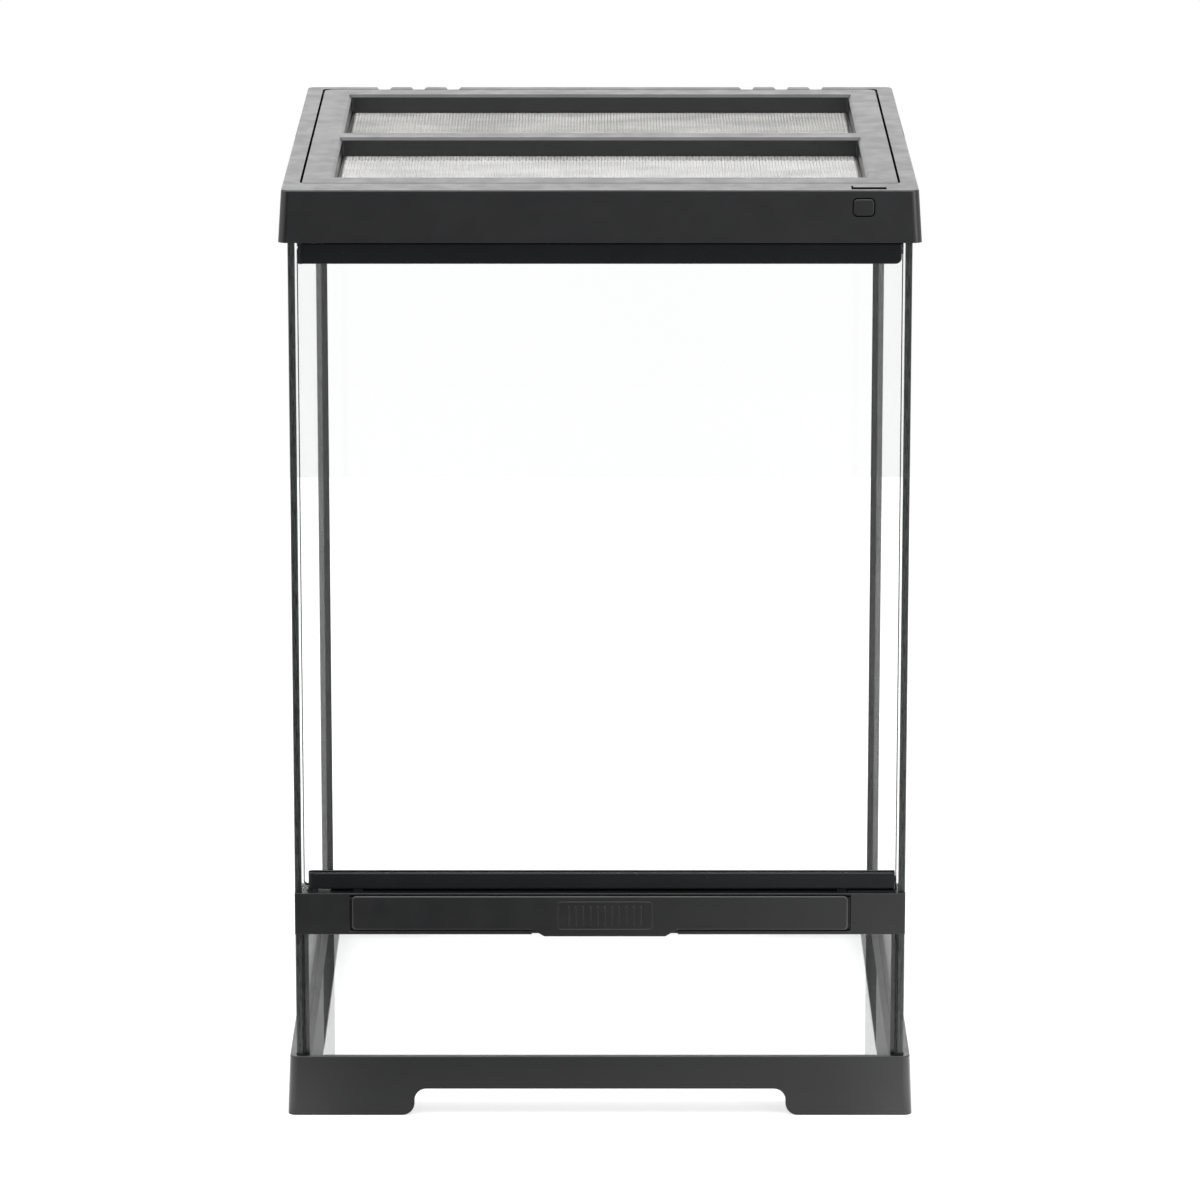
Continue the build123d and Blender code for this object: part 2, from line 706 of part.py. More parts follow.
def waist_bar():
    """Bar across the tank below the door: latch recess, vents and the lower hinge socket."""
    bar = block(-side, side, bar_face, bar_back, bar_foot, bar_top)
    bar = fillet(bar.edges().filter_by(Axis.X).sort_by(Axis.Y)[:2], RIM_ROUND / 2)
    bar += block(-bar_side, bar_side, bar_back, cover_face, web_foot, web_top)
    bar += block(-bar_side, bar_side, bar_back, cover_face, bar_top - BAR_TOP, bar_top)
    bar += block(-bar_side, bar_side, cover_face - BAR_LIP, cover_face, bar_foot, web_foot)
    bar += both_sides(block(bar_side - BAR_WALL, bar_side, bar_back, cover_face, web_top, bar_top))
    pad_end = bar_side - PAD_INSET
    bar += block(pad_end - PAD_LENGTH, pad_end, bar_back, cover_face, bar_top, bar_top + PAD_HEIGHT)
    socket_foot = bar_top + SOCKET_COLLAR - DOOR_PIN_DEPTH - SOCKET_FLOOR - PIN_HEAD
    bar += rod_z(door_axis_x, door_mid, socket_foot, bar_top + SOCKET_COLLAR, SOCKET_RADIUS)
    bore = DOOR_PIN_RADIUS + RUNNING
    bar -= rod_z(door_axis_x, door_mid, socket_foot + SOCKET_FLOOR, bar_top + SOCKET_COLLAR, bore)
    bar -= bar_recess()
    bar -= both_sides(arm_openings())
    pin_end = latch_side + LATCH_END_GAP + LATCH_PIN_REACH + GUIDE_GAP
    pin_hole = LATCH_PIN_RADIUS + RUNNING
    bar -= both_sides(rod_x(latch_side, pin_end, latch_axis_y, latch_axis_z, pin_hole))
    return bar - vent_cutters(bar_face, bar_back)


def waist_bar_back():
    """Rear cover of the waist bar, which rises into the lower door stop."""
    foot = bar_foot + BACK_RISE
    back = block(-bar_side, bar_side, cover_face, cover_face + BACK, foot, bar_top)
    back += block(STOP_START - side, bar_side, cover_face, cover_face + BACK, bar_top, bar_top + LOWER_STOP)
    return back - vent_cutters(cover_face, cover_face + BACK)


def front_vent_mesh():
    """Mesh that backs the vents of the waist bar."""
    width = VENT_COUNT * VENT_PITCH + VENT_MESH_LAP
    height = VENT_HEIGHT + VENT_RISE
    z = web_top + height / 2
    plane = Plane(origin=(0, cover_face, z), x_dir=(1, 0, 0), z_dir=(0, -1, 0))
    return plane * net(width, height, 3 * VENT_COUNT, 2, VENT_STRAND)


def latch_outline():
    """Face of the latch plate: a long rounded plate with a finger pull at its foot."""
    middle = (latch_top + latch_foot) / 2
    plate = Pos(0, middle) * RectangleRounded(2 * latch_side, LATCH_HEIGHT, LATCH_CORNER)
    pull = Polyline(
        (-PULL_WIDTH / 2, latch_foot + LATCH_CORNER),
        (PULL_WIDTH / 2, latch_foot + LATCH_CORNER),
        (PULL_WIDTH / 2, latch_foot),
        (PULL_FOOT / 2, latch_foot - PULL_DROP),
        (-PULL_FOOT / 2, latch_foot - PULL_DROP),
        (-PULL_WIDTH / 2, latch_foot),
        close=True,
    )
    return plate + Pos(PULL_PLACE, 0) * make_face(pull)


def latch_badge():
    """Bare rounded border with upright grip ribs, over the finger pull."""
    border = RectangleRounded(BADGE_WIDTH, BADGE_HEIGHT, BADGE_CORNER)
    inner = RectangleRounded(
        BADGE_WIDTH - 2 * BADGE_BORDER, BADGE_HEIGHT - 2 * BADGE_BORDER, BADGE_CORNER - BADGE_BORDER
    )
    ribs = [place * Rectangle(RIB, RIB_HEIGHT) for place in GridLocations(RIB_PITCH, 1, RIB_COUNT, 1)]
    face = Plane(
        origin=(PULL_PLACE, latch_face, latch_top - BADGE_DROP), x_dir=(1, 0, 0), z_dir=(0, -1, 0)
    )
    return extrude(face * (border - inner + ribs), BADGE_PROUD)


def latch_plate():
    """Long latch plate with its finger pull, two arms and the teeth that rise from them."""
    face = Plane(origin=(0, latch_back, 0), x_dir=(1, 0, 0), z_dir=(0, -1, 0))
    plate = extrude(face * latch_outline(), LATCH)
    long_edges = plate.edges().filter_by(Axis.X).group_by(Axis.Z)[-1].sort_by(Axis.Y)
    plate = fillet(long_edges[0], LATCH_ROUND)
    long_edges = plate.edges().filter_by(Axis.X).filter_by_position(Axis.Y, latch_back, latch_back)
    plate = chamfer(long_edges.sort_by(Axis.Z)[-1], LATCH_HEEL)
    x0, x1 = arm_x - ARM_WIDTH / 2, arm_x + ARM_WIDTH / 2
    arm = block(x0, x1, latch_back, tooth_back, arm_foot, arm_foot + ARM_HEIGHT)
    tip = door_foot - TOOTH_TIP_GAP
    arm += block(x0, x1, tooth_back - TOOTH, tooth_back, arm_foot, tip)
    plate += both_sides(arm)
    grip = latch_side - LATCH_PIN_GRIP
    plate -= both_sides(rod_x(grip, latch_side, latch_axis_y, latch_axis_z, LATCH_PIN_RADIUS))
    return plate + latch_badge()


def latch_pins():
    """Steel pins in the ends of the latch plate."""
    grip = latch_side - LATCH_PIN_GRIP
    reach = latch_side + LATCH_END_GAP + LATCH_PIN_REACH
    return both_sides(rod_x(grip, reach, latch_axis_y, latch_axis_z, LATCH_PIN_RADIUS))


# --- Door ---------------------------------------------------------------------


def door_glass():
    """Door glass between its rails, rounded at the corners of its free edge."""
    pane = block(-door_side, door_side, pane_face, pane_face + GLASS, pane_foot, pane_top)
    free_corners = pane.edges().filter_by(Axis.Y).group_by(Axis.X)[-1]
    return fillet(free_corners, DOOR_CORNER)


def door_rail(left, z0, z1):
    """Solid rail with a round end at the hinge."""
    right = door_side - RAIL_END_INSET
    radius = DOOR_DEPTH / 2
    outline = Pos((left + radius + right) / 2, door_mid) * Rectangle(right - left - radius, DOOR_DEPTH)
    outline += Pos(left + radius, door_mid) * Circle(radius)
    return slab(outline, z0, z1)


def door_groove():
    """Space that the door glass takes in its rails."""
    return block(-side_in, side_in, pane_face, pane_face + GLASS, pane_foot, pane_top)


def door_bottom_rail():
    """Lower rail, a channel that carries the glass and the lower pin."""
    left = -(door_side - LOWER_RAIL_INSET)
    rail = door_rail(left, door_foot, door_foot + LOWER_RAIL_HEIGHT) - door_groove()
    rail -= rod_z(door_axis_x, door_mid, door_foot, pane_foot, DOOR_PIN_RADIUS)
    return rail - rod_z(door_axis_x, door_mid, pane_foot - PIN_HEAD, pane_foot, PIN_HEAD_RADIUS)


def door_top_rail():
    """Upper rail, a channel over the glass that carries the upper pin."""
    rail = door_rail(-door_side, door_top - UPPER_RAIL_HEIGHT, door_top)
    free_corner = rail.edges().filter_by(Axis.Y).group_by(Axis.X)[-1].sort_by(Axis.Z)[0]
    rail = fillet(free_corner, RAIL_FOOT_ROUND) - door_groove()
    rail -= rod_z(door_axis_x, door_mid, pane_top, door_top, DOOR_PIN_RADIUS)
    return rail - rod_z(door_axis_x, door_mid, pane_top, pane_top + PIN_HEAD, PIN_HEAD_RADIUS)


def door_pin_lower():
    """Headed steel pin that points down into the waist bar."""
    tip = bar_top + SOCKET_COLLAR - DOOR_PIN_DEPTH
    pin = rod_z(door_axis_x, door_mid, tip, pane_foot, DOOR_PIN_RADIUS)
    return pin + rod_z(door_axis_x, door_mid, pane_foot - PIN_HEAD, pane_foot, PIN_HEAD_RADIUS)


def door_pin_upper():
    """Headed steel pin that points up into the cover under the front rail."""
    tip = skirt_foot + DOOR_PIN_DEPTH - GUIDE_GAP
    pin = rod_z(door_axis_x, door_mid, pane_top, tip, DOOR_PIN_RADIUS)
    return pin + rod_z(door_axis_x, door_mid, pane_top, pane_top + PIN_HEAD, PIN_HEAD_RADIUS)


# --- Lid ----------------------------------------------------------------------


def window_block(y0, y1, grow, z0, z1):
    """Space of a lid window, grown by the same amount on each side."""
    outline = Pos(0, (y0 + y1) / 2) * RectangleRounded(
        2 * (window_side + grow), y1 - y0 + 2 * grow, WINDOW_CORNER + max(grow, 0)
    )
    return slab(outline, z0, z1)


def lid_posts():
    """Posts under the lid's skin, where the retainer is bonded."""
    posts = Part()
    inset = LID_WALL + RETAINER_GAP + POST_RADIUS
    x = lid_side - inset
    y_front = lid_front + inset
    y_rear = lid_rear - inset
    skin = top - LID_SKIN
    for i in (-1, 0, 1):
        posts += rod_z(-x, i * POST_PITCH, mesh_foot, skin, POST_RADIUS)
        posts += rod_z(x, i * POST_PITCH, mesh_foot, skin, POST_RADIUS)
        posts += rod_z(i * POST_PITCH, y_front, mesh_foot, skin, POST_RADIUS)
        posts += rod_z(i * POST_PITCH, y_rear, mesh_foot, skin, POST_RADIUS)
    return posts


def lid_outline(inset):
    """Plan of the lid, drawn in by inset."""
    return plan(
        inset - lid_side,
        lid_side - inset,
        lid_front + inset,
        lid_rear - inset,
        max(LID_FRONT_CORNER - inset, WINDOW_CORNER / 2),
        max(LID_REAR_CORNER - inset, WINDOW_CORNER / 2),
    )


def lid_catch():
    """Leg below the lid's front wall, with a nose at its foot."""
    x0, x1 = button_x - CATCH_WIDTH / 2, button_x + CATCH_WIDTH / 2
    foot = lid_foot - CATCH_DROP
    leg = block(x0, x1, lid_front, lid_front + CATCH_LEG, foot, lid_foot)
    nose_back = lid_front + CATCH_LEG + CATCH_NOSE
    return leg + block(x0, x1, lid_front, nose_back, foot, foot + CATCH_NOSE_HEIGHT)


def lid_frame():
    """Moulded lid: two windows and a crossbar, hollow below, with the hinge bosses."""
    lid = slab(lid_outline(0), lid_foot, top)
    lid = fillet(lid.edges().group_by(Axis.Z)[-1], LID_ROUND)
    hollow = slab(lid_outline(LID_WALL), lid_foot, top - LID_SKIN)
    for y0, y1 in windows.values():
        hollow -= window_block(y0, y1, LID_WALL, mesh_top, top)
    lid -= hollow
    for y0, y1 in windows.values():
        opening = window_block(y0, y1, 0, lid_foot, top)
        lid -= opening
    lid = chamfer_windows(lid)
    boss = block(
        lid_side - LID_PIN_LENGTH,
        lid_side - LID_WALL / 2,
        lid_axis_y - LID_BOSS,
        lid_rear - LID_WALL / 2,
        lid_axis_z - LID_BOSS,
        top - LID_SKIN / 2,
    )
    boss &= slab(lid_outline(LID_WALL / 2), lid_foot, top)
    lid += both_sides(boss)
    lid += lid_posts() + lid_catch()
    pin = rod_x(lid_side - LID_PIN_LENGTH, lid_side, lid_axis_y, lid_axis_z, LID_PIN_RADIUS)
    return lid - both_sides(pin)


def chamfer_windows(lid):
    """Slope the top edges of both windows."""
    for y0, y1 in windows.values():
        low = Pos(0, (y0 + y1) / 2, top - WINDOW_CHAMFER) * Rectangle(2 * window_side, y1 - y0)
        high = Pos(0, (y0 + y1) / 2, top) * Rectangle(
            2 * (window_side + WINDOW_CHAMFER), y1 - y0 + 2 * WINDOW_CHAMFER
        )
        lid -= loft([low, high], ruled=True)
    return lid


def lid_mesh(name):
    """Mesh panel under one window of the lid."""
    y0, y1 = windows[name]
    lap = LID_WALL + MESH_LAP
    panel = net(2 * (window_side + lap), y1 - y0 + 2 * lap, MESH_COLUMNS, MESH_ROWS, MESH_STRAND)
    return Pos(0, (y0 + y1) / 2, mesh_foot) * panel


def lid_mesh_retainer():
    """Flat ring that closes the lid from below and clamps both mesh panels."""
    ring = slab(lid_outline(LID_WALL + RETAINER_GAP), lid_foot, mesh_foot)
    for y0, y1 in windows.values():
        ring -= window_block(y0, y1, -RETAINER_LIP, lid_foot, mesh_foot)
    return ring


def lid_hinge_pins():
    """Steel pins at the rear of the lid."""
    end = opening_side + INNER_WALL + SEALANT - LID_PIN_END_GAP
    return both_sides(rod_x(lid_side - LID_PIN_LENGTH, end, lid_axis_y, lid_axis_z, LID_PIN_RADIUS))


flange_face = front - skirt_overhang(glass_top) + SKIRT + FLANGE_GAP
flange_back = flange_face + FLANGE


def lid_button():
    """Push button, its flange behind the skirt and the fork that reaches the lid's catch."""
    front_plane = Plane(origin=(button_x, flange_face, button_z), x_dir=(1, 0, 0), z_dir=(0, -1, 0))
    proud = front - skirt_overhang(button_z) - BUTTON_PROUD
    pad = extrude(
        front_plane * RectangleRounded(BUTTON_WIDTH, BUTTON_HEIGHT, BUTTON_CORNER), flange_face - proud
    )
    pad = fillet(pad.edges().group_by(Axis.Y)[0], BUTTON_ROUND)
    half = max(BUTTON_WIDTH / 2 + BUTTON_GAP + FLANGE_LAP, fork_half())
    button = pad + block(
        button_x - half, button_x + half, flange_face, flange_back, fork_foot, glass_top - GUIDE_GAP
    )
    nose_back = lid_front + CATCH_LEG + CATCH_NOSE
    bar_front = nose_back + CATCH_GAP
    outer = fork_half()
    prong = block(
        button_x + outer - PRONG, button_x + outer, flange_back, bar_front + PRONG, fork_foot, fork_top
    )
    button += prong + Pos(PRONG - 2 * outer, 0, 0) * prong
    button += block(button_x - outer, button_x + outer, bar_front, bar_front + PRONG, fork_foot, fork_top)
    return button


# --- Spring behind the button -------------------------------------------------


def biarc(start, start_way, end, end_way):
    """Two tangent arcs from one point and direction to another."""
    chord = end - start
    ways = start_way + end_way
    spread = 2 * (1 - start_way.dot(end_way))
    along = chord.dot(ways)
    reach = (sqrt(along**2 + spread * chord.dot(chord)) - along) / spread
    middle = (start + end + (start_way - end_way) * reach) / 2
    first = TangentArc(start, middle, tangent=start_way)
    return [first, TangentArc(middle, end, tangent=first % 1)]


def spring_point(turn, length):
    """Point and direction on the spring after so many turns of its coils."""
    angle = 2 * pi * turn
    rise = length / SPRING_COILS
    y = flange_back + SPRING_WIRE + SPRING_LEAD + rise * turn
    point = Vector(button_x + SPRING_RADIUS * cos(angle), y, button_z + SPRING_RADIUS * sin(angle))
    way = Vector(-2 * pi * SPRING_RADIUS * sin(angle), rise, 2 * pi * SPRING_RADIUS * cos(angle))
    return point, way.normalized()


def spring_path():
    """Wire of the spring: a straight end, the coils in quarter turns, a straight end."""
    length = inner_wall_face - flange_back - 2 * (SPRING_WIRE + SPRING_LEAD)
    axis = Vector(0, 1, 0)
    knots = [spring_point(i / 4, length) for i in range(4 * SPRING_COILS + 1)]
    first, last = knots[0][0], knots[-1][0]
    lead_in = Vector(first.X, flange_back + SPRING_WIRE, first.Z - SPRING_RADIUS)
    lead_out = Vector(last.X, inner_wall_face - SPRING_WIRE, last.Z + SPRING_RADIUS)
    knots = [(lead_in, axis), *knots, (lead_out, axis)]
    edges = [Line(lead_in - axis * SPRING_WIRE, lead_in)]
    for (start, start_way), (end, end_way) in zip(knots, knots[1:]):
        edges += biarc(start, start_way, end, end_way)
    edges.append(Line(lead_out, lead_out + axis * SPRING_WIRE))
    return Wire(edges)


def print_least_gap(path):
    """Print the least gap between one part of the spring's wire and another."""
    count = 60 * SPRING_COILS
    points = [path.position_at(i / count) for i in range(count + 1)]
    step = path.length / count
    apart = int(pi * SPRING_RADIUS / step)
    gap = min(
        (points[i] - points[j]).length
        for i in range(count + 1)
        for j in range(i + apart, count + 1)
    )
    print("least gap of the spring to itself", round(gap - SPRING_WIRE, 2))


def button_spring():
    """Compression spring between the button's flange and the front inner wall."""
    path = spring_path()
    print_least_gap(path)
    section = Plane(origin=path @ 0, z_dir=path % 0) * Circle(SPRING_WIRE / 2)
    return sweep(section, path=path)


# --- All pieces ---------------------------------------------------------------

PIECES = {
    "left_side_glass": lambda: side_glass(-1),
    "right_side_glass": lambda: side_glass(1),
    "rear_glass": rear_glass,
    "front_lower_glass": front_lower_glass,
    "floor_glass": floor_glass,
    "rear_corner_silicone": rear_corner_silicone,
    "front_corner_silicone": front_corner_silicone,
    "floor_silicone": floor_silicone,
    "base_frame": base_frame,
    "top_frame": top_frame,
    "front_rail_cover": front_rail_cover,
    "inlet_gate_right": inlet_gate,
    "inlet_gate_left": lambda: mirror(inlet_gate(), Plane.YZ),
    "waist_bar": waist_bar,
    "waist_bar_back": waist_bar_back,
    "front_vent_mesh": front_vent_mesh,
    "latch_plate": latch_plate,
    "latch_pins": latch_pins,
    "door_glass": door_glass,
    "door_top_rail": door_top_rail,
    "door_bottom_rail": door_bottom_rail,
    "door_pin_upper": door_pin_upper,
    "door_pin_lower": door_pin_lower,
    "lid_frame": lid_frame,
    "lid_mesh_front": lambda: lid_mesh("front"),
    "lid_mesh_rear": lambda: lid_mesh("rear"),
    "lid_mesh_retainer": lid_mesh_retainer,
    "lid_hinge_pins": lid_hinge_pins,
    "lid_button": lid_button,
    "button_spring": button_spring,
}

os.makedirs("parts", exist_ok=True)
for name, make in PIECES.items():
    export_step(make(), f"parts/{name}.step")
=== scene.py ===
"""Looks of a glass terrarium with a hinged front door, a hinged mesh lid and a raised base.

Metres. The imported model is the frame: its plastic, silicone and steel parts stay and get their
finishes here, and the glasses, the woven wire screens and four mouldings with broken edges are
modelled here in their place.
"""

import json
import logging
from dataclasses import dataclass, field
from enum import Enum
from math import pi, radians

import bmesh
import bpy
from mathutils import Matrix, Vector


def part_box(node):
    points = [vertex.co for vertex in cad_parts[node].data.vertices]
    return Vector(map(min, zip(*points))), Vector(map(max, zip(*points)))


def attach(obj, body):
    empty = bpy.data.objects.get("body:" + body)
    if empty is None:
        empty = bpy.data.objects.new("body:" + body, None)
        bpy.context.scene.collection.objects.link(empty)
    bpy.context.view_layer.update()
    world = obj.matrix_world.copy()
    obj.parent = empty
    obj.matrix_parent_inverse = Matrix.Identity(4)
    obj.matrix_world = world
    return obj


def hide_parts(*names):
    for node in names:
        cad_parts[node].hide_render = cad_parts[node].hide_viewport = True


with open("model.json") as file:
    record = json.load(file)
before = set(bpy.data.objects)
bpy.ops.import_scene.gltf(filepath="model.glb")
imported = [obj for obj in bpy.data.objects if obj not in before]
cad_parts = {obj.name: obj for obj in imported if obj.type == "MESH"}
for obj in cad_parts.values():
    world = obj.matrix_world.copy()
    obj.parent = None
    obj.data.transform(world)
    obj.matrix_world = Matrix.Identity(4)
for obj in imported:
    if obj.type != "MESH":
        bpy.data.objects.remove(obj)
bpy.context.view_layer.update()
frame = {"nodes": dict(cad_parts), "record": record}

log = logging.getLogger("terrarium")

MM = 0.001

Colour = tuple[float, float, float]
Triple = tuple[float, float, float]
Span = tuple[float, float]


class Body(Enum):
    """Moving bodies that the new pieces ride on."""

    TANK = "tank"
    DOOR = "door"
    LATCH = "latch"
    LID = "lid"


class Slot(Enum):
    """Material slots of the record."""

    GLASS = "clear_glass"
    SEALANT = "sealant"
    FRAME = "frame_plastic"
    RAIL = "rail_plastic"
    MESH = "mesh_steel"
    PIN = "pin_steel"
    BLACK_PIN = "black_steel"


@dataclass(frozen=True)
class Ramp:
    """Smooth change of a level along one axis.

    Attributes:
        axis: X, Y or Z.
        low: where it starts.
        high: where it ends.
        to_low: level at the start.
        to_high: level at the end.
    """

    axis: str
    low: float
    high: float
    to_low: float
    to_high: float


# --- Set values -------------------------------------------------------------------

# Lumps of each texture to a metre.
CLOUD_SCALE = 38.0
HANDLING_SCALE = 90.0
FLOW_SCALE = 22.0
PATCH_SCALE = 26.0
PANE_TINT_SCALE = 6.0
EDGE_STREAKS = 2200.0

# Stretch of a texture along each axis.
PATCH_STRETCH = (1.0, 2.2, 1.0)
STREAK_STRETCH = (1.0, 1.0, 0.08)

# Depths of relief in metres.
EDGE_RELIEF = 0.00005
STEEL_RELIEF = 0.00001

# Darkest and brightest tone of a finish, against its own colour.
PLASTIC_TONES = (0.94, 1.06)
STEEL_TONES = (0.84, 1.12)
GLASS_TONES = (0.995, 1.0)
EDGE_TONES = (0.55, 1.7)

# Values of the noise at which the darkest and the brightest tone are reached.
PLASTIC_TONE_RANGE = (0.35, 0.65)
STEEL_TONE_RANGE = (0.36, 0.64)
GLASS_TONE_RANGE = (0.3, 0.7)
EDGE_TONE_RANGE = (0.35, 0.68)

# Roughness past the middle one, at the low and the high end of the noise.
PLASTIC_ROUGHNESS = (-0.035, 0.035)
STEEL_ROUGHNESS = (-0.06, 0.06)
EDGE_ROUGHNESS = (-0.08, 0.1)
ROUGHNESS_RANGE = (0.3, 0.7)

# Least share of a normal, and of an edge, along an axis that it follows.
FACES_ALONG = 0.99
RUNS_ALONG = 0.9

# Strips across a bevel and sides of a wire.
CORNER_SEGMENTS = 5
BROKEN_EDGE_SEGMENTS = 3
WIRE_SIDES = 4

# Broken edges of raised detail, and the limits that find the edges to break.
DETAIL_EDGE = 0.12 * MM
MERGE = 0.01 * MM
FRONT_SLACK = 5 * MERGE
FLAT_ANGLE = radians(0.5)
SHARP_ANGLE = radians(50.0)

# Sensor of the camera in millimetres, colours of the studio, and strength of its ambient light.
SENSOR_WIDTH = 36.0
FLOOR_PAINT = (0.8, 0.8, 0.8, 1.0)
WHITE = (1.0, 1.0, 1.0, 1.0)
AMBIENT = 0.45

# Levels of the painted light that the floor gives off in gloss only, a painted reflection, by place on
# it in metres.
FLOOR_FAR = Ramp("X", -0.1, 0.25, 0.12, 1.1)
FLOOR_NEARNESS = Ramp("Y", -0.5, -0.16, 0.0, 1.0)
FLOOR_NEAR = Ramp("X", -0.1, 0.2, 0.8, 1.25)
FLOOR_NEAR_LEFT = Ramp("X", -0.2, -0.11, 1.4, 0.0)
FLOOR_NEAR_RIGHT = Ramp("X", 0.11, 0.2, 0.0, 1.8)

# Levels of the room in gloss, by direction.
ROOM_BEHIND = Ramp("Y", -0.3, 0.3, 0.0, 1.0)
ROOM_RIGHT = Ramp("X", -0.25, 0.4, 0.03, 0.95)
ROOM_LEFT = Ramp("X", -0.85, -0.35, 1.1, 0.0)
ROOM_ABOVE = Ramp("Z", 0.2, 0.55, 0.0, 1.7)


# --- Node sheets ------------------------------------------------------------------


class Sheet:
    """Node tree of a material or world, with short ways to add and join nodes."""

    def __init__(self, tree: bpy.types.NodeTree) -> None:
        """Empties the tree.

        Args:
            tree: node tree to fill.
        """
        self.tree = tree
        tree.nodes.clear()

    def add(self, kind: str, **settings: object) -> bpy.types.Node:
        """Adds a node.

        Args:
            kind: bl_idname of the node.
            settings: attributes to set on it.

        Returns:
            The new node.
        """
        node = self.tree.nodes.new(kind)
        for name, value in settings.items():
            setattr(node, name, value)
        return node

    def join(self, source: bpy.types.NodeSocket, target: bpy.types.NodeSocket) -> None:
        """Links two sockets.

        Args:
            source: output that gives the value.
            target: input that gets it.
        """
        self.tree.links.new(source, target)

    def feed(self, value: object, target: bpy.types.NodeSocket) -> None:
        """Links a socket, or sets a plain number.

        Args:
            value: socket or number.
            target: input that gets it.
        """
        if isinstance(value, bpy.types.NodeSocket):
            self.join(value, target)
        else:
            target.default_value = value

    def math(self, operation: str, *values: object, clamp: bool = False) -> bpy.types.NodeSocket:
        """Adds a Math node.

        Args:
            operation: its operation.
            values: sockets or numbers for its inputs, in order.
            clamp: holds the result between 0 and 1.

        Returns:
            Its result.
        """
        node = self.add("ShaderNodeMath", operation=operation, use_clamp=clamp)
        for value, target in zip(values, node.inputs):
            self.feed(value, target)
        return node.outputs[0]

    def spread(
        self, value: bpy.types.NodeSocket, low: float, high: float, to_low: float, to_high: float
    ) -> bpy.types.NodeSocket:
        """Maps a value smoothly from one range to another.

        Args:
            value: what is mapped.
            low: start of its range.
            high: end of its range.
            to_low: result at the start.
            to_high: result at the end.

        Returns:
            The mapped value.
        """
        node = self.add("ShaderNodeMapRange", interpolation_type="SMOOTHSTEP")
        for target, number in zip(node.inputs[1:5], (low, high, to_low, to_high)):
            target.default_value = number
        self.join(value, node.inputs["Value"])
        return node.outputs["Result"]

    def ramp(self, place: bpy.types.Node, ramp: Ramp) -> bpy.types.NodeSocket:
        """Reads a ramp.

        Args:
            place: node whose outputs are the parts of the place.
            ramp: ramp to read.

        Returns:
            Its level there.
        """
        return self.spread(place.outputs[ramp.axis], ramp.low, ramp.high, ramp.to_low, ramp.to_high)

    def roughness(
        self, value: bpy.types.NodeSocket, middle: float, swing: Span
    ) -> bpy.types.NodeSocket:
        """Varies a roughness by a noise.

        Args:
            value: the noise.
            middle: middle roughness.
            swing: what is added at the low and the high end of the noise.

        Returns:
            The roughness.
        """
        return self.spread(value, *ROUGHNESS_RANGE, middle + swing[0], middle + swing[1])

    def split_place(self, kind: str) -> bpy.types.Node:
        """Splits a place into its parts.

        Args:
            kind: output of the Texture Coordinate node.

        Returns:
            The node that gives X, Y and Z.
        """
        place = self.add("ShaderNodeTexCoord")
        parts = self.add("ShaderNodeSeparateXYZ")
        self.join(place.outputs[kind], parts.inputs["Vector"])
        return parts

    def straight(self, rays: bpy.types.Node) -> bpy.types.NodeSocket:
        """Tells the camera's rays, also behind glass, from the others.

        Args:
            rays: Light Path node.

        Returns:
            1 for a ray of the camera or one that went through glass, else 0.
        """
        return self.math("MAXIMUM", rays.outputs["Is Camera Ray"], rays.outputs["Is Transmission Ray"])

    def end(self, surface: bpy.types.NodeSocket, kind: str = "ShaderNodeOutputMaterial") -> None:
        """Adds the output.

        Args:
            surface: shader of the surface.
            kind: bl_idname of the output node.
        """
        self.join(surface, self.add(kind).inputs["Surface"])

    def noise(
        self, scale: float, detail: float = 2.0, stretch: Triple = (1.0, 1.0, 1.0)
    ) -> bpy.types.NodeSocket:
        """Adds noise on Object coordinates.

        Args:
            scale: lumps to a metre.
            detail: octaves.
            stretch: scale along each axis.

        Returns:
            The noise, about 0.5 in the middle.
        """
        place = self.add("ShaderNodeTexCoord")
        mapping = self.add("ShaderNodeMapping")
        mapping.inputs["Scale"].default_value = stretch
        self.join(place.outputs["Object"], mapping.inputs["Vector"])
        node = self.add("ShaderNodeTexNoise")
        node.inputs["Scale"].default_value = scale
        node.inputs["Detail"].default_value = detail
        self.join(mapping.outputs["Vector"], node.inputs["Vector"])
        return node.outputs["Fac"]

    def tones(
        self,
        value: bpy.types.NodeSocket,
        colour: Colour,
        factors: Span,
        places: Span,
    ) -> bpy.types.NodeSocket:
        """Blends a dark and a bright tone of a colour by a value.

        Args:
            value: what chooses the tone.
            colour: the colour.
            factors: darkest and brightest tone, against the colour.
            places: values that give the darkest and the brightest tone.

        Returns:
            The colour.
        """
        ramp = self.add("ShaderNodeValToRGB")
        for element, place, factor in zip(ramp.color_ramp.elements, places, factors):
            element.position = place
            element.color = (*shade(colour, factor), 1.0)
        self.join(value, ramp.inputs["Fac"])
        return ramp.outputs["Color"]

    def bump(
        self, height: bpy.types.NodeSocket, depth: float, under: bpy.types.NodeSocket | None = None
    ) -> bpy.types.NodeSocket:
        """Adds a bump.

        Args:
            height: height from 0 to 1.
            depth: depth of the relief in metres.
            under: normal that it lies on, if there is one.

        Returns:
            The normal.
        """
        node = self.add("ShaderNodeBump")
        node.inputs["Distance"].default_value = depth
        node.inputs["Strength"].default_value = 1.0
        self.join(height, node.inputs["Height"])
        if under is not None:
            self.join(under, node.inputs["Normal"])
        return node.outputs["Normal"]


def shade(colour: Colour, factor: float) -> Colour:
    """Scales a colour, no brighter than white.

    Args:
        colour: colour to scale.
        factor: what it is scaled by.

    Returns:
        The scaled colour.
    """
    red, green, blue = (min(1.0, part * factor) for part in colour)
    return red, green, blue


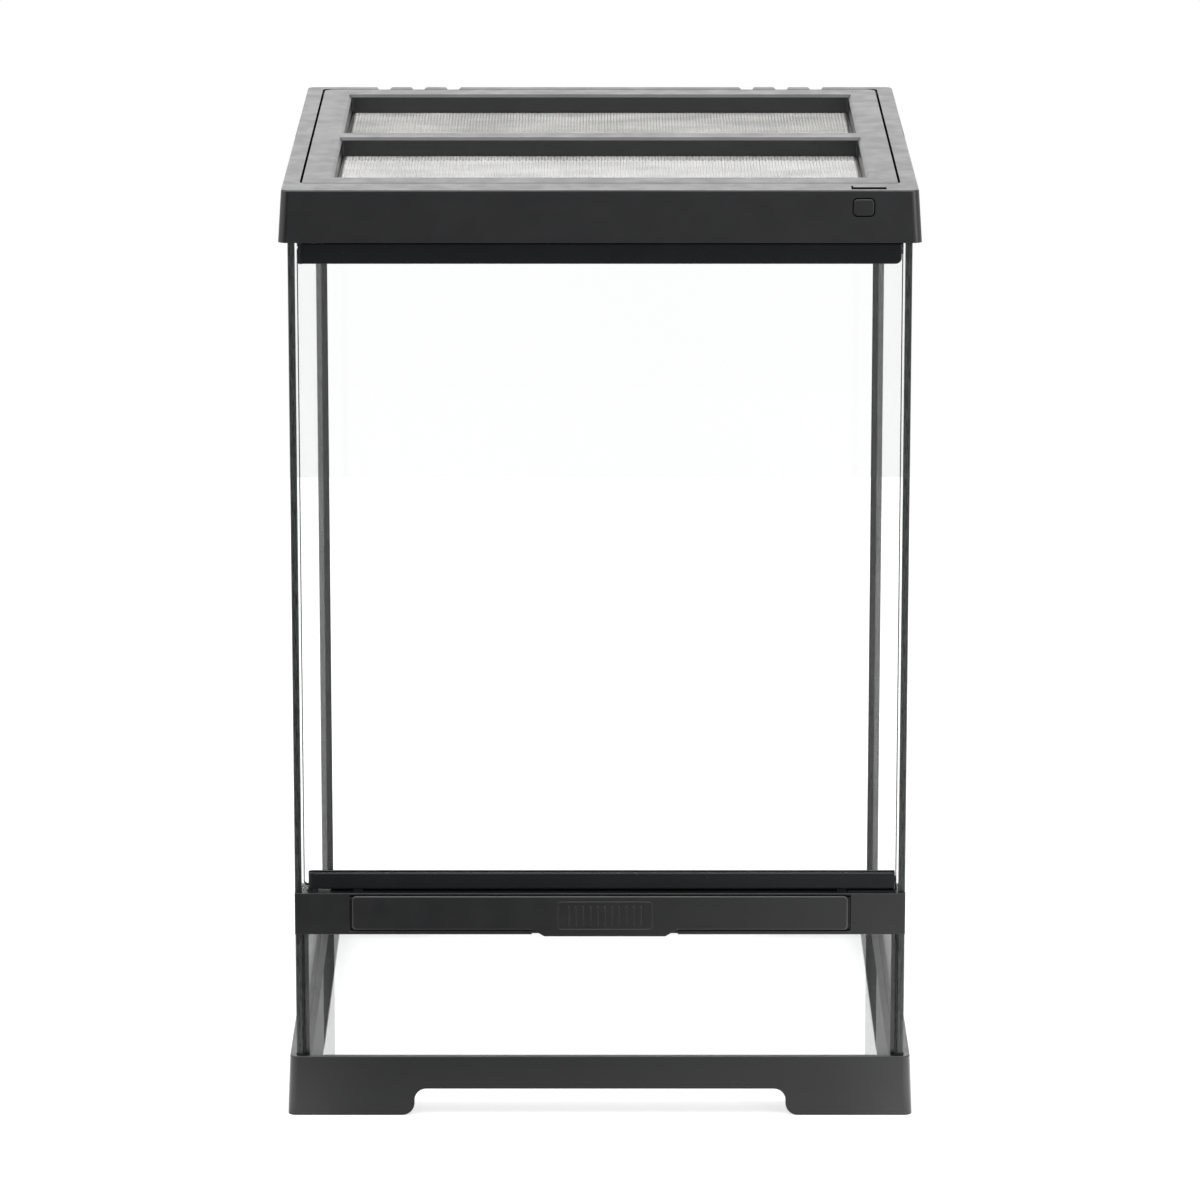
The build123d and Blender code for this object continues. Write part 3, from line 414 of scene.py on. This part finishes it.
def new_material(name: str) -> tuple[bpy.types.Material, Sheet]:
    """Starts a material with an empty node tree.

    Args:
        name: its name.

    Returns:
        The material and its node sheet.
    """
    material = bpy.data.materials.new(name)
    material.use_nodes = True
    return material, Sheet(material.node_tree)


# --- Finishes ---------------------------------------------------------------------


@dataclass(frozen=True)
class Moulding:
    """Black moulded or extruded plastic with a fine eroded grain.

    Attributes:
        name: name of the material.
        colour: base colour.
        roughness: middle roughness.
        ior: index of refraction.
        grain: grains to a metre.
        relief: depth of the grain in metres.
        flow: slow change of level over a wall, as a moulding has, in metres.
    """

    name: str
    colour: Colour
    roughness: float
    ior: float
    grain: float
    relief: float
    flow: float

    def make(self) -> bpy.types.Material:
        """Builds the material.

        Returns:
            The new material.
        """
        material, sheet = new_material(self.name)
        skin = sheet.add("ShaderNodeBsdfPrincipled")
        skin.inputs["IOR"].default_value = self.ior
        clouds = sheet.noise(CLOUD_SCALE, detail=4.0)
        tone = sheet.tones(clouds, self.colour, PLASTIC_TONES, PLASTIC_TONE_RANGE)
        sheet.join(tone, skin.inputs["Base Color"])
        handling = sheet.noise(HANDLING_SCALE, detail=5.0)
        rough = sheet.roughness(handling, self.roughness, PLASTIC_ROUGHNESS)
        sheet.join(rough, skin.inputs["Roughness"])
        slow = sheet.bump(sheet.noise(FLOW_SCALE, detail=1.0), self.flow)
        fine = sheet.bump(sheet.noise(self.grain, detail=3.0), self.relief, slow)
        sheet.join(fine, skin.inputs["Normal"])
        sheet.end(skin.outputs[0])
        return material


@dataclass(frozen=True)
class Steel:
    """Steel of the wire or the pins.

    Attributes:
        name: name of the material.
        colour: base colour.
        roughness: middle roughness.
        draw: fine lines to a metre.
    """

    name: str
    colour: Colour
    roughness: float
    draw: float

    def make(self) -> bpy.types.Material:
        """Builds the material.

        Returns:
            The new material.
        """
        material, sheet = new_material(self.name)
        skin = sheet.add("ShaderNodeBsdfPrincipled")
        skin.inputs["Metallic"].default_value = 1.0
        patches = sheet.noise(PATCH_SCALE, detail=3.0, stretch=PATCH_STRETCH)
        tone = sheet.tones(patches, self.colour, STEEL_TONES, STEEL_TONE_RANGE)
        sheet.join(tone, skin.inputs["Base Color"])
        lines = sheet.noise(self.draw, detail=2.0)
        rough = sheet.roughness(lines, self.roughness, STEEL_ROUGHNESS)
        sheet.join(rough, skin.inputs["Roughness"])
        sheet.join(sheet.bump(lines, STEEL_RELIEF), skin.inputs["Normal"])
        sheet.end(skin.outputs[0])
        return material


@dataclass(frozen=True)
class ClearGlass:
    """Face of a float glass pane, which lets shadow and diffuse rays pass.

    Attributes:
        name: name of the material.
        tint: colour of the glass.
        ior: index of refraction.
    """

    name: str
    tint: Colour
    ior: float

    def make(self) -> bpy.types.Material:
        """Builds the material.

        Returns:
            The new material.
        """
        material, sheet = new_material(self.name)
        pane = sheet.add("ShaderNodeBsdfPrincipled")
        pane.inputs["IOR"].default_value = self.ior
        pane.inputs["Roughness"].default_value = 0.0
        pane.inputs["Transmission Weight"].default_value = 1.0
        batch = sheet.noise(PANE_TINT_SCALE, detail=1.0)
        tone = sheet.tones(batch, self.tint, GLASS_TONES, GLASS_TONE_RANGE)
        sheet.join(tone, pane.inputs["Base Color"])
        clear = sheet.add("ShaderNodeBsdfTransparent")
        rays = sheet.add("ShaderNodeLightPath")
        passing = sheet.math(
            "MAXIMUM", rays.outputs["Is Shadow Ray"], rays.outputs["Is Diffuse Ray"]
        )
        mix = sheet.add("ShaderNodeMixShader")
        sheet.join(passing, mix.inputs["Fac"])
        sheet.join(pane.outputs[0], mix.inputs[1])
        sheet.join(clear.outputs[0], mix.inputs[2])
        sheet.end(mix.outputs[0])
        return material


@dataclass(frozen=True)
class ShadedCutEdge:
    """Ground edge of a pane, painted dark: painted shade that stands in for the light that runs away
    inside the glass.

    Attributes:
        name: name of the material.
        colour: base colour, near black as painted shade.
        roughness: middle roughness.
    """

    name: str
    colour: Colour
    roughness: float

    def make(self) -> bpy.types.Material:
        """Builds the material.

        Returns:
            The new material.
        """
        material, sheet = new_material(self.name)
        skin = sheet.add("ShaderNodeBsdfPrincipled")
        streaks = sheet.noise(EDGE_STREAKS, detail=3.0, stretch=STREAK_STRETCH)
        tone = sheet.tones(streaks, self.colour, EDGE_TONES, EDGE_TONE_RANGE)
        sheet.join(tone, skin.inputs["Base Color"])
        rough = sheet.roughness(streaks, self.roughness, EDGE_ROUGHNESS)
        sheet.join(rough, skin.inputs["Roughness"])
        sheet.join(sheet.bump(streaks, EDGE_RELIEF), skin.inputs["Normal"])
        sheet.end(skin.outputs[0])
        return material


FRAME_PLASTIC = Moulding(
    "frame_plastic",
    colour=(0.0115, 0.0118, 0.0131),
    roughness=0.34,
    ior=1.54,
    grain=2600.0,
    relief=0.000007,
    flow=0.000008,
)
RAIL_PLASTIC = Moulding(
    "rail_plastic",
    colour=(0.0142, 0.0166, 0.0177),
    roughness=0.24,
    ior=1.26,
    grain=3000.0,
    relief=0.000003,
    flow=0.000008,
)
SILICONE = Moulding(
    "sealant",
    colour=(0.022, 0.022, 0.023),
    roughness=0.36,
    ior=1.42,
    grain=900.0,
    relief=0.00008,
    flow=0.0003,
)
WIRE_STEEL = Steel("mesh_steel", colour=(0.5, 0.496, 0.483), roughness=0.34, draw=2400.0)
PIN_STEEL = Steel("pin_steel", colour=(0.6, 0.6, 0.61), roughness=0.24, draw=4200.0)
BLACK_STEEL = Steel("black_steel", colour=(0.03, 0.03, 0.032), roughness=0.36, draw=4200.0)
PANE_GLASS = ClearGlass("clear_glass", tint=(0.995, 1.0, 0.998), ior=1.5)
FRONT_GLASS = ClearGlass("door_glass", tint=(0.997, 1.0, 0.999), ior=1.25)
# The near-black colour of the pane edges is painted shade for the light lost inside the glass.
PANE_EDGE_SHADE = ShadedCutEdge("glass_edge_painted_shade", colour=(0.034, 0.037, 0.036), roughness=0.3)


@dataclass
class Finishes:
    """The made materials, one of each finish."""

    frame_plastic: bpy.types.Material = field(default_factory=FRAME_PLASTIC.make)
    rail_plastic: bpy.types.Material = field(default_factory=RAIL_PLASTIC.make)
    silicone: bpy.types.Material = field(default_factory=SILICONE.make)
    wire_steel: bpy.types.Material = field(default_factory=WIRE_STEEL.make)
    pin_steel: bpy.types.Material = field(default_factory=PIN_STEEL.make)
    black_steel: bpy.types.Material = field(default_factory=BLACK_STEEL.make)
    pane_glass: bpy.types.Material = field(default_factory=PANE_GLASS.make)
    upright_glass: bpy.types.Material = field(default_factory=FRONT_GLASS.make)
    pane_edge_shade: bpy.types.Material = field(default_factory=PANE_EDGE_SHADE.make)

    def for_slot(self, slot: Slot) -> bpy.types.Material:
        """Finds the material that dresses the parts of a slot.

        Args:
            slot: slot of the record.

        Returns:
            Its material.
        """
        return {
            Slot.GLASS: self.pane_glass,
            Slot.SEALANT: self.silicone,
            Slot.FRAME: self.frame_plastic,
            Slot.RAIL: self.rail_plastic,
            Slot.MESH: self.wire_steel,
            Slot.PIN: self.pin_steel,
            Slot.BLACK_PIN: self.black_steel,
        }[slot]


# --- Mesh helpers -----------------------------------------------------------------


def bevel(
    bm: bmesh.types.BMesh, edges: list[bmesh.types.BMEdge], width: float, segments: int
) -> None:
    """Bevels edges of a mesh.

    Args:
        bm: mesh that holds them.
        edges: edges to bevel.
        width: how far the bevel reaches along each face.
        segments: strips across it.
    """
    bmesh.ops.bevel(
        bm, geom=edges, offset=width, offset_type="OFFSET", affect="EDGES", segments=segments,
        profile=0.5, material=-1,
    )


def finish_piece(
    bm: bmesh.types.BMesh, name: str, body: Body, materials: list[bpy.types.Material]
) -> bpy.types.Object:
    """Turns a mesh into a piece that rides a body and stands for the CAD node it is named after.

    Args:
        bm: finished mesh, in place.
        name: name of the CAD node.
        body: body that it rides on.
        materials: its materials, in order.

    Returns:
        The piece.
    """
    mesh = bpy.data.meshes.new(f"{name}_looks")
    bm.to_mesh(mesh)
    bm.free()
    for material in materials:
        mesh.materials.append(material)
    piece = bpy.data.objects.new(f"{name}_looks", mesh)
    bpy.context.scene.collection.objects.link(piece)
    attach(piece, body.value)
    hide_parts(name)
    log.info("%s: %d faces", piece.name, len(mesh.polygons))
    return piece


# --- Glass ------------------------------------------------------------------------


@dataclass
class Pane:
    """One sheet of float glass with ground arrises.

    Attributes:
        node: CAD node that it stands for.
        body: body that it rides on.
        arris: width of the ground chamfer along its edges.
        corner: radius of its four corners, or 0.
        faces_front: stands across the tank, where hardly any of it mirrors.
    """

    node: str
    body: Body = Body.TANK
    arris: float = 0.45 * MM
    corner: float = 0.0
    faces_front: bool = False

    def thin_axis(self, size: Vector) -> int:
        """Finds the axis that the glass is thin along.

        Args:
            size: size of the pane.

        Returns:
            0, 1 or 2 for X, Y or Z.
        """
        return min(range(3), key=lambda i: size[i])

    def build(self, finishes: Finishes) -> bpy.types.Object:
        """Models the sheet and gives its faces and edges their materials.

        Args:
            finishes: the made materials.

        Returns:
            The pane.
        """
        low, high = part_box(self.node)
        size = high - low
        thin = self.thin_axis(size)
        bm = bmesh.new()
        bmesh.ops.create_cube(bm, size=1.0)
        bmesh.ops.scale(bm, vec=size, verts=bm.verts)
        bmesh.ops.translate(bm, vec=(low + high) / 2, verts=bm.verts)
        if self.corner:
            upright = [e for e in bm.edges if self.runs_along(e, thin)]
            bevel(bm, upright, self.corner, CORNER_SEGMENTS)
        rim = [e for e in bm.edges if not self.runs_along(e, thin)]
        bevel(bm, rim, self.arris, 1)
        bmesh.ops.recalc_face_normals(bm, faces=bm.faces)
        for face in bm.faces:
            face.material_index = 0 if abs(face.normal[thin]) > FACES_ALONG else 1
        glass = finishes.upright_glass if self.faces_front else finishes.pane_glass
        materials = [glass, finishes.pane_edge_shade]
        return finish_piece(bm, self.node, self.body, materials)

    @staticmethod
    def runs_along(edge: bmesh.types.BMEdge, axis: int) -> bool:
        """Tells whether an edge runs along an axis.

        Args:
            edge: edge to test.
            axis: number of the axis.

        Returns:
            True if it does.
        """
        way = edge.verts[1].co - edge.verts[0].co
        return abs(way[axis]) > RUNS_ALONG * way.length


@dataclass
class GlassTank:
    """The fixed glasses and the glass of the door.

    Attributes:
        panes: the panes.
    """

    panes: list[Pane] = field(
        default_factory=lambda: [
            Pane("left_side_glass"),
            Pane("right_side_glass"),
            Pane("rear_glass", faces_front=True),
            Pane("front_lower_glass", faces_front=True),
            Pane("floor_glass"),
            Pane("door_glass", Body.DOOR, corner=2.0 * MM, faces_front=True),
        ]
    )

    def build(self, finishes: Finishes) -> None:
        """Models every pane.

        Args:
            finishes: the made materials.
        """
        for pane in self.panes:
            pane.build(finishes)


# --- Woven wire -------------------------------------------------------------------


def repeat(bm: bmesh.types.BMesh, step: Vector, count: int) -> None:
    """Repeats all that a mesh holds along a line, by doubling it.

    Args:
        bm: mesh that holds one copy.
        step: from one copy to the next.
        count: copies in the end.
    """
    faces = list(bm.faces)
    unit = len(faces)
    made = 1
    while made < count:
        more = min(made, count - made)
        copied = bmesh.ops.duplicate(bm, geom=faces[: more * unit])["geom"]
        verts = [item for item in copied if isinstance(item, bmesh.types.BMVert)]
        faces += [item for item in copied if isinstance(item, bmesh.types.BMFace)]
        bmesh.ops.translate(bm, vec=step * made, verts=verts)
        made += more


@dataclass
class Screen:
    """Plain woven wire screen, with every wire crimped over and under the ones it crosses.

    Attributes:
        node: CAD net that it stands for.
        body: body that it rides on.
        flat: the two axes that the screen lies along.
        pitch: from wire to wire.
        wire: thickness of a wire.
        inset: edge of the screen inside the edge of the net.
    """

    node: str
    body: Body
    flat: tuple[int, int] = (0, 1)
    pitch: float = 1.6 * MM
    wire: float = 0.26 * MM
    inset: float = 0.0

    def build(self, finishes: Finishes) -> bpy.types.Object:
        """Weaves the screen.

        Args:
            finishes: the made materials.

        Returns:
            The screen.
        """
        low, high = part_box(self.node)
        pairs = [int((high[i] - low[i] - 2 * self.inset) / self.pitch / 2) for i in self.flat]
        bm = bmesh.new()
        for across, along, quarter_turns in ((pairs[1], pairs[0], 0), (pairs[0], pairs[1], 1)):
            wires = self.weave(2 * along, across, quarter_turns)
            bm.from_mesh(wires)
            bpy.data.meshes.remove(wires)
        bmesh.ops.recalc_face_normals(bm, faces=bm.faces)
        turn = Matrix.Identity(4) if self.flat == (0, 1) else Matrix.Rotation(pi / 2, 4, "X")
        place = Matrix.Translation((low + high) / 2) @ turn
        bmesh.ops.transform(bm, matrix=place, verts=bm.verts)
        for face in bm.faces:
            face.smooth = True
        return finish_piece(bm, self.node, self.body, [finishes.wire_steel])

    def weave(self, crossings: int, pairs: int, quarter_turns: int) -> bpy.types.Mesh:
        """Lays all the wires that run one way, centred on the origin.

        Args:
            crossings: pitches along a wire.
            pairs: pairs of wires side by side.
            quarter_turns: 0 for wires along X, 1 for wires along Y.

        Returns:
            The wires.
        """
        bm = bmesh.new()
        for i in range(2):
            self.add_wire(bm, crossings, (i + quarter_turns) % 2, i * self.pitch)
        repeat(bm, Vector((0, 2 * self.pitch, 0)), pairs)
        bmesh.ops.translate(bm, vec=(0, self.pitch * (0.5 - pairs), 0), verts=bm.verts)
        turn = Matrix.Rotation(-quarter_turns * pi / 2, 3, "Z")
        bmesh.ops.rotate(bm, cent=(0, 0, 0), matrix=turn, verts=bm.verts)
        wires = bpy.data.meshes.new("wires")
        bm.to_mesh(wires)
        bm.free()
        return wires

    def add_wire(self, bm: bmesh.types.BMesh, crossings: int, phase: int, across: float) -> None:
        """Adds one crimped wire along X, closed at both ends, with a bend at each crossing.

        Args:
            bm: mesh that gets it.
            crossings: pitches along it.
            phase: 0 or 1, under or over at its first crossing.
            across: its place along Y.
        """
        rise = self.wire / 2
        ring = bmesh.ops.create_circle(
            bm, cap_ends=True, segments=WIRE_SIDES, radius=self.wire / 2
        )["verts"]
        bmesh.ops.rotate(bm, cent=(0, 0, 0), matrix=Matrix.Rotation(pi / 2, 3, "Y"), verts=ring)
        heights = [rise if (k + phase) % 2 else -rise for k in range(crossings)]
        start = (0.5 - crossings / 2) * self.pitch
        bmesh.ops.translate(bm, vec=(start, across, heights[0]), verts=ring)
        edges = list({edge for vert in ring for edge in vert.link_edges})
        for below, above in zip(heights, heights[1:]):
            grown = bmesh.ops.extrude_edge_only(bm, edges=edges)["geom"]
            ring = [item for item in grown if isinstance(item, bmesh.types.BMVert)]
            edges = [item for item in grown if isinstance(item, bmesh.types.BMEdge)]
            bmesh.ops.translate(bm, vec=(self.pitch, 0, above - below), verts=ring)
        bmesh.ops.edgeloop_fill(bm, edges=edges)


@dataclass
class Screens:
    """The two screens of the lid and the strip behind the vents.

    Attributes:
        items: the screens.
    """

    items: list[Screen] = field(
        default_factory=lambda: [
            Screen("lid_mesh_front", Body.LID, inset=2.6 * MM),
            Screen("lid_mesh_rear", Body.LID, inset=2.6 * MM),
            Screen("front_vent_mesh", Body.TANK, flat=(0, 2)),
        ]
    )

    def build(self, finishes: Finishes) -> None:
        """Weaves every screen.

        Args:
            finishes: the made materials.
        """
        for screen in self.items:
            screen.build(finishes)


# --- Mouldings with broken edges --------------------------------------------------


@dataclass
class EdgedMoulding:
    """A moulding with the sharp edges round its front face broken, so that they catch the light.

    Attributes:
        node: CAD node that it stands for.
        body: body that it rides on.
        slot: slot that its finish comes from.
        width: how far the broken edge reaches along each face.
        proud: how far raised detail stands in front of the front face.
    """

    node: str
    body: Body
    slot: Slot
    width: float
    proud: float = 0.0

    def build(self, finishes: Finishes) -> bpy.types.Object:
        """Copies the CAD part, merges it, bevels the edges of its front face and shades it flat.

        Args:
            finishes: the made materials.

        Returns:
            The moulding.
        """
        bm = bmesh.new()
        bm.from_mesh(frame["nodes"][self.node].data)
        bmesh.ops.remove_doubles(bm, verts=bm.verts, dist=MERGE)
        bmesh.ops.dissolve_limit(
            bm, angle_limit=FLAT_ANGLE, use_dissolve_boundaries=False, verts=bm.verts, edges=bm.edges
        )
        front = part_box(self.node)[0].y
        if self.proud:
            bevel(bm, self.front_edges(bm, front), DETAIL_EDGE, 1)
        bevel(bm, self.front_edges(bm, front + self.proud), self.width, BROKEN_EDGE_SEGMENTS)
        for face in bm.faces:
            face.smooth = False
        return finish_piece(bm, self.node, self.body, [finishes.for_slot(self.slot)])

    def front_edges(self, bm: bmesh.types.BMesh, front: float) -> list[bmesh.types.BMEdge]:
        """Finds the edges to break.

        Args:
            bm: mesh that holds them.
            front: place of the front face along Y.

        Returns:
            The sharp outer edges that lie in that face.
        """
        return [edge for edge in bm.edges if self.is_front_edge(edge, front)]

    @staticmethod
    def is_front_edge(edge: bmesh.types.BMEdge, front: float) -> bool:
        """Tells whether an edge is sharp, stands out and lies in the front face.

        Args:
            edge: edge to test.
            front: place of the front face along Y.

        Returns:
            True if it is one of the edges to break.
        """
        in_face = all(abs(vert.co.y - front) < FRONT_SLACK for vert in edge.verts)
        stands_out = edge.is_manifold and edge.is_convex
        return in_face and stands_out and edge.calc_face_angle() > SHARP_ANGLE


@dataclass
class FrontMouldings:
    """The mouldings across the front, whose edges show as thin bright lines.

    Attributes:
        items: the mouldings.
    """

    items: list[EdgedMoulding] = field(
        default_factory=lambda: [
            EdgedMoulding("waist_bar", Body.TANK, Slot.FRAME, 0.28 * MM),
            EdgedMoulding("latch_plate", Body.LATCH, Slot.FRAME, 0.5 * MM, proud=0.3 * MM),
            EdgedMoulding("door_top_rail", Body.DOOR, Slot.RAIL, 0.7 * MM),
            EdgedMoulding("door_bottom_rail", Body.DOOR, Slot.RAIL, 0.9 * MM),
        ]
    )

    def build(self, finishes: Finishes) -> None:
        """Models every moulding.

        Args:
            finishes: the made materials.
        """
        for item in self.items:
            item.build(finishes)


# --- Plastic, silicone and steel --------------------------------------------------


@dataclass
class CarriedParts:
    """Every part that keeps its CAD shape, dressed from its slot of the record."""

    def dress(self, finishes: Finishes) -> None:
        """Gives each shown node the finish of its slot.

        Args:
            finishes: the made materials.
        """
        for entry in frame["record"]["subparts"]:
            node = frame["nodes"][entry["node"]]
            if node.hide_render:
                continue
            material = finishes.for_slot(Slot(entry["material_slot"]))
            if not node.material_slots:
                node.data.materials.append(material)
            for slot in node.material_slots:
                slot.material = material
            log.info("%s: %s", node.name, material.name)


# --- Studio -----------------------------------------------------------------------


@dataclass
class Softbox:
    """One soft area lamp that faces a point.

    Attributes:
        name: name of the lamp.
        place: where it stands.
        aim: what it faces.
        size: width and height.
        power: watts.
    """

    name: str
    place: Triple
    aim: Triple
    size: Span
    power: float

    def build(self) -> None:
        """Puts the lamp in the scene."""
        data = bpy.data.lights.new(self.name, "AREA")
        data.shape = "RECTANGLE"
        data.size, data.size_y = self.size
        data.energy = self.power
        lamp = bpy.data.objects.new(self.name, data)
        lamp.location = self.place
        way = Vector(self.aim) - Vector(self.place)
        lamp.rotation_euler = way.to_track_quat("-Z", "Y").to_euler()
        lamp.visible_camera = False
        lamp.visible_transmission = False
        bpy.context.scene.collection.objects.link(lamp)


@dataclass
class Studio:
    """Camera, lamps, white backdrop and pale floor.

    Attributes:
        camera_place: where the camera stands.
        camera_tilt: how far it looks down, in degrees.
        lens: its focal length in millimetres.
        floor_size: side of the floor.
        floor_drop: how far the floor lies under the feet.
        floor_glow: its own light for the camera.
        softboxes: the lamps.
    """

    camera_place: Triple = (0.0, -3.2787, 1.0342)
    camera_tilt: float = 13.809
    lens: float = 195.4
    floor_size: float = 2.6
    floor_drop: float = 0.0001
    floor_glow: float = 0.6
    softboxes: list[Softbox] = field(
        default_factory=lambda: [
            Softbox("right_softbox", (1.3, -1.3, 0.55), (0.1, -0.15, 0.25), (0.7, 0.7), 5.0),
            Softbox("left_softbox", (-1.9, -0.4, 1.2), (0.0, 0.0, 0.25), (0.8, 1.4), 7.0),
            Softbox("top_softbox", (0.0, -0.5, 2.1), (0.0, 0.0, 0.3), (2.0, 1.2), 24.0),
            Softbox("rear_softbox", (-0.25, 2.2, 1.05), (0.0, 0.0, 0.45), (3.0, 1.5), 11.0),
        ]
    )

    def build(self) -> None:
        """Sets up the whole studio."""
        self.add_camera()
        self.add_floor()
        self.add_world()
        for softbox in self.softboxes:
            softbox.build()
        bpy.context.scene.view_settings.view_transform = "Standard"

    def add_camera(self) -> None:
        """Adds the camera at the photograph's viewing angle."""
        data = bpy.data.cameras.new("camera")
        data.lens = self.lens
        data.sensor_width = SENSOR_WIDTH
        camera = bpy.data.objects.new("camera", data)
        camera.location = self.camera_place
        camera.rotation_euler = (radians(90.0 - self.camera_tilt), 0.0, 0.0)
        bpy.context.scene.collection.objects.link(camera)
        bpy.context.scene.camera = camera

    def add_floor(self) -> None:
        """Adds the pale floor, which glows for the camera but keeps its shadows."""
        bm = bmesh.new()
        bmesh.ops.create_grid(bm, x_segments=1, y_segments=1, size=self.floor_size / 2)
        bmesh.ops.translate(bm, vec=(0, 0, -self.floor_drop), verts=bm.verts)
        mesh = bpy.data.meshes.new("floor")
        bm.to_mesh(mesh)
        bm.free()
        material, sheet = new_material("floor")
        paint = sheet.add("ShaderNodeBsdfDiffuse")
        paint.inputs["Color"].default_value = FLOOR_PAINT
        glow = sheet.add("ShaderNodeEmission")
        rays = sheet.add("ShaderNodeLightPath")
        straight = sheet.straight(rays)
        sheet.join(sheet.math("MULTIPLY", straight, self.floor_glow), glow.inputs["Strength"])
        lit = sheet.add("ShaderNodeAddShader")
        sheet.join(paint.outputs[0], lit.inputs[0])
        sheet.join(glow.outputs[0], lit.inputs[1])
        # In gloss the floor is not lit by the lamps: it glows with painted light set by place, a
        # painted reflection.
        painted_reflection = sheet.add("ShaderNodeEmission")
        sheet.join(self.painted_floor_reflection(sheet), painted_reflection.inputs["Strength"])
        in_gloss = sheet.math("SUBTRACT", rays.outputs["Is Glossy Ray"], straight, clamp=True)
        both = sheet.add("ShaderNodeMixShader")
        sheet.join(in_gloss, both.inputs["Fac"])
        sheet.join(lit.outputs[0], both.inputs[1])
        sheet.join(painted_reflection.outputs[0], both.inputs[2])
        sheet.end(both.outputs[0])
        mesh.materials.append(material)
        floor = bpy.data.objects.new("floor", mesh)
        bpy.context.scene.collection.objects.link(floor)

    @staticmethod
    def painted_floor_reflection(sheet: Sheet) -> bpy.types.NodeSocket:
        """Level of the floor in gloss, as painted light that it gives off in place of lamp light: a
        painted reflection, bright round the tank, dim towards the front left.

        Args:
            sheet: node sheet to add to.

        Returns:
            The strength.
        """
        place = sheet.split_place("Object")
        left = sheet.ramp(place, FLOOR_NEAR_LEFT)
        right = sheet.ramp(place, FLOOR_NEAR_RIGHT)
        near = sheet.math("ADD", sheet.ramp(place, FLOOR_NEAR), sheet.math("ADD", left, right))
        nearness = sheet.ramp(place, FLOOR_NEARNESS)
        farness = sheet.math("SUBTRACT", 1.0, nearness)
        far = sheet.math("MULTIPLY", farness, sheet.ramp(place, FLOOR_FAR))
        return sheet.math("ADD", sheet.math("MULTIPLY", nearness, near), far)

    @staticmethod
    def add_world() -> None:
        """Adds the white backdrop, and the room that gloss shows, with its dim front."""
        world = bpy.data.worlds.new("backdrop")
        world.use_nodes = True
        bpy.context.scene.world = world
        sheet = Sheet(world.node_tree)
        rays = sheet.add("ShaderNodeLightPath")
        way = sheet.split_place("Generated")
        right = sheet.ramp(way, ROOM_RIGHT)
        left = sheet.ramp(way, ROOM_LEFT)
        above = sheet.ramp(way, ROOM_ABOVE)
        brightest = sheet.math("MAXIMUM", above, sheet.math("MAXIMUM", right, left))
        behind = sheet.ramp(way, ROOM_BEHIND)
        front = sheet.math("MULTIPLY", sheet.math("SUBTRACT", 1.0, behind), brightest)
        room = sheet.math("ADD", behind, front)
        gloss = sheet.math("MULTIPLY", rays.outputs["Is Glossy Ray"], room)
        rest = sheet.math("SUBTRACT", 1.0, rays.outputs["Is Glossy Ray"])
        ambient = sheet.math("MULTIPLY", rest, AMBIENT)
        other = sheet.math("ADD", gloss, ambient)
        strength = sheet.math("MAXIMUM", sheet.straight(rays), other)
        sky = sheet.add("ShaderNodeBackground")
        sky.inputs["Color"].default_value = WHITE
        sheet.join(strength, sky.inputs["Strength"])
        sheet.end(sky.outputs[0], "ShaderNodeOutputWorld")


def main() -> None:
    """Builds the glass and the screens, dresses the rest and sets up the studio."""
    logging.basicConfig(level=logging.INFO, format="%(message)s")
    finishes = Finishes()
    GlassTank().build(finishes)
    Screens().build(finishes)
    FrontMouldings().build(finishes)
    CarriedParts().dress(finishes)
    Studio().build()


if __name__ == "__main__":
    main()
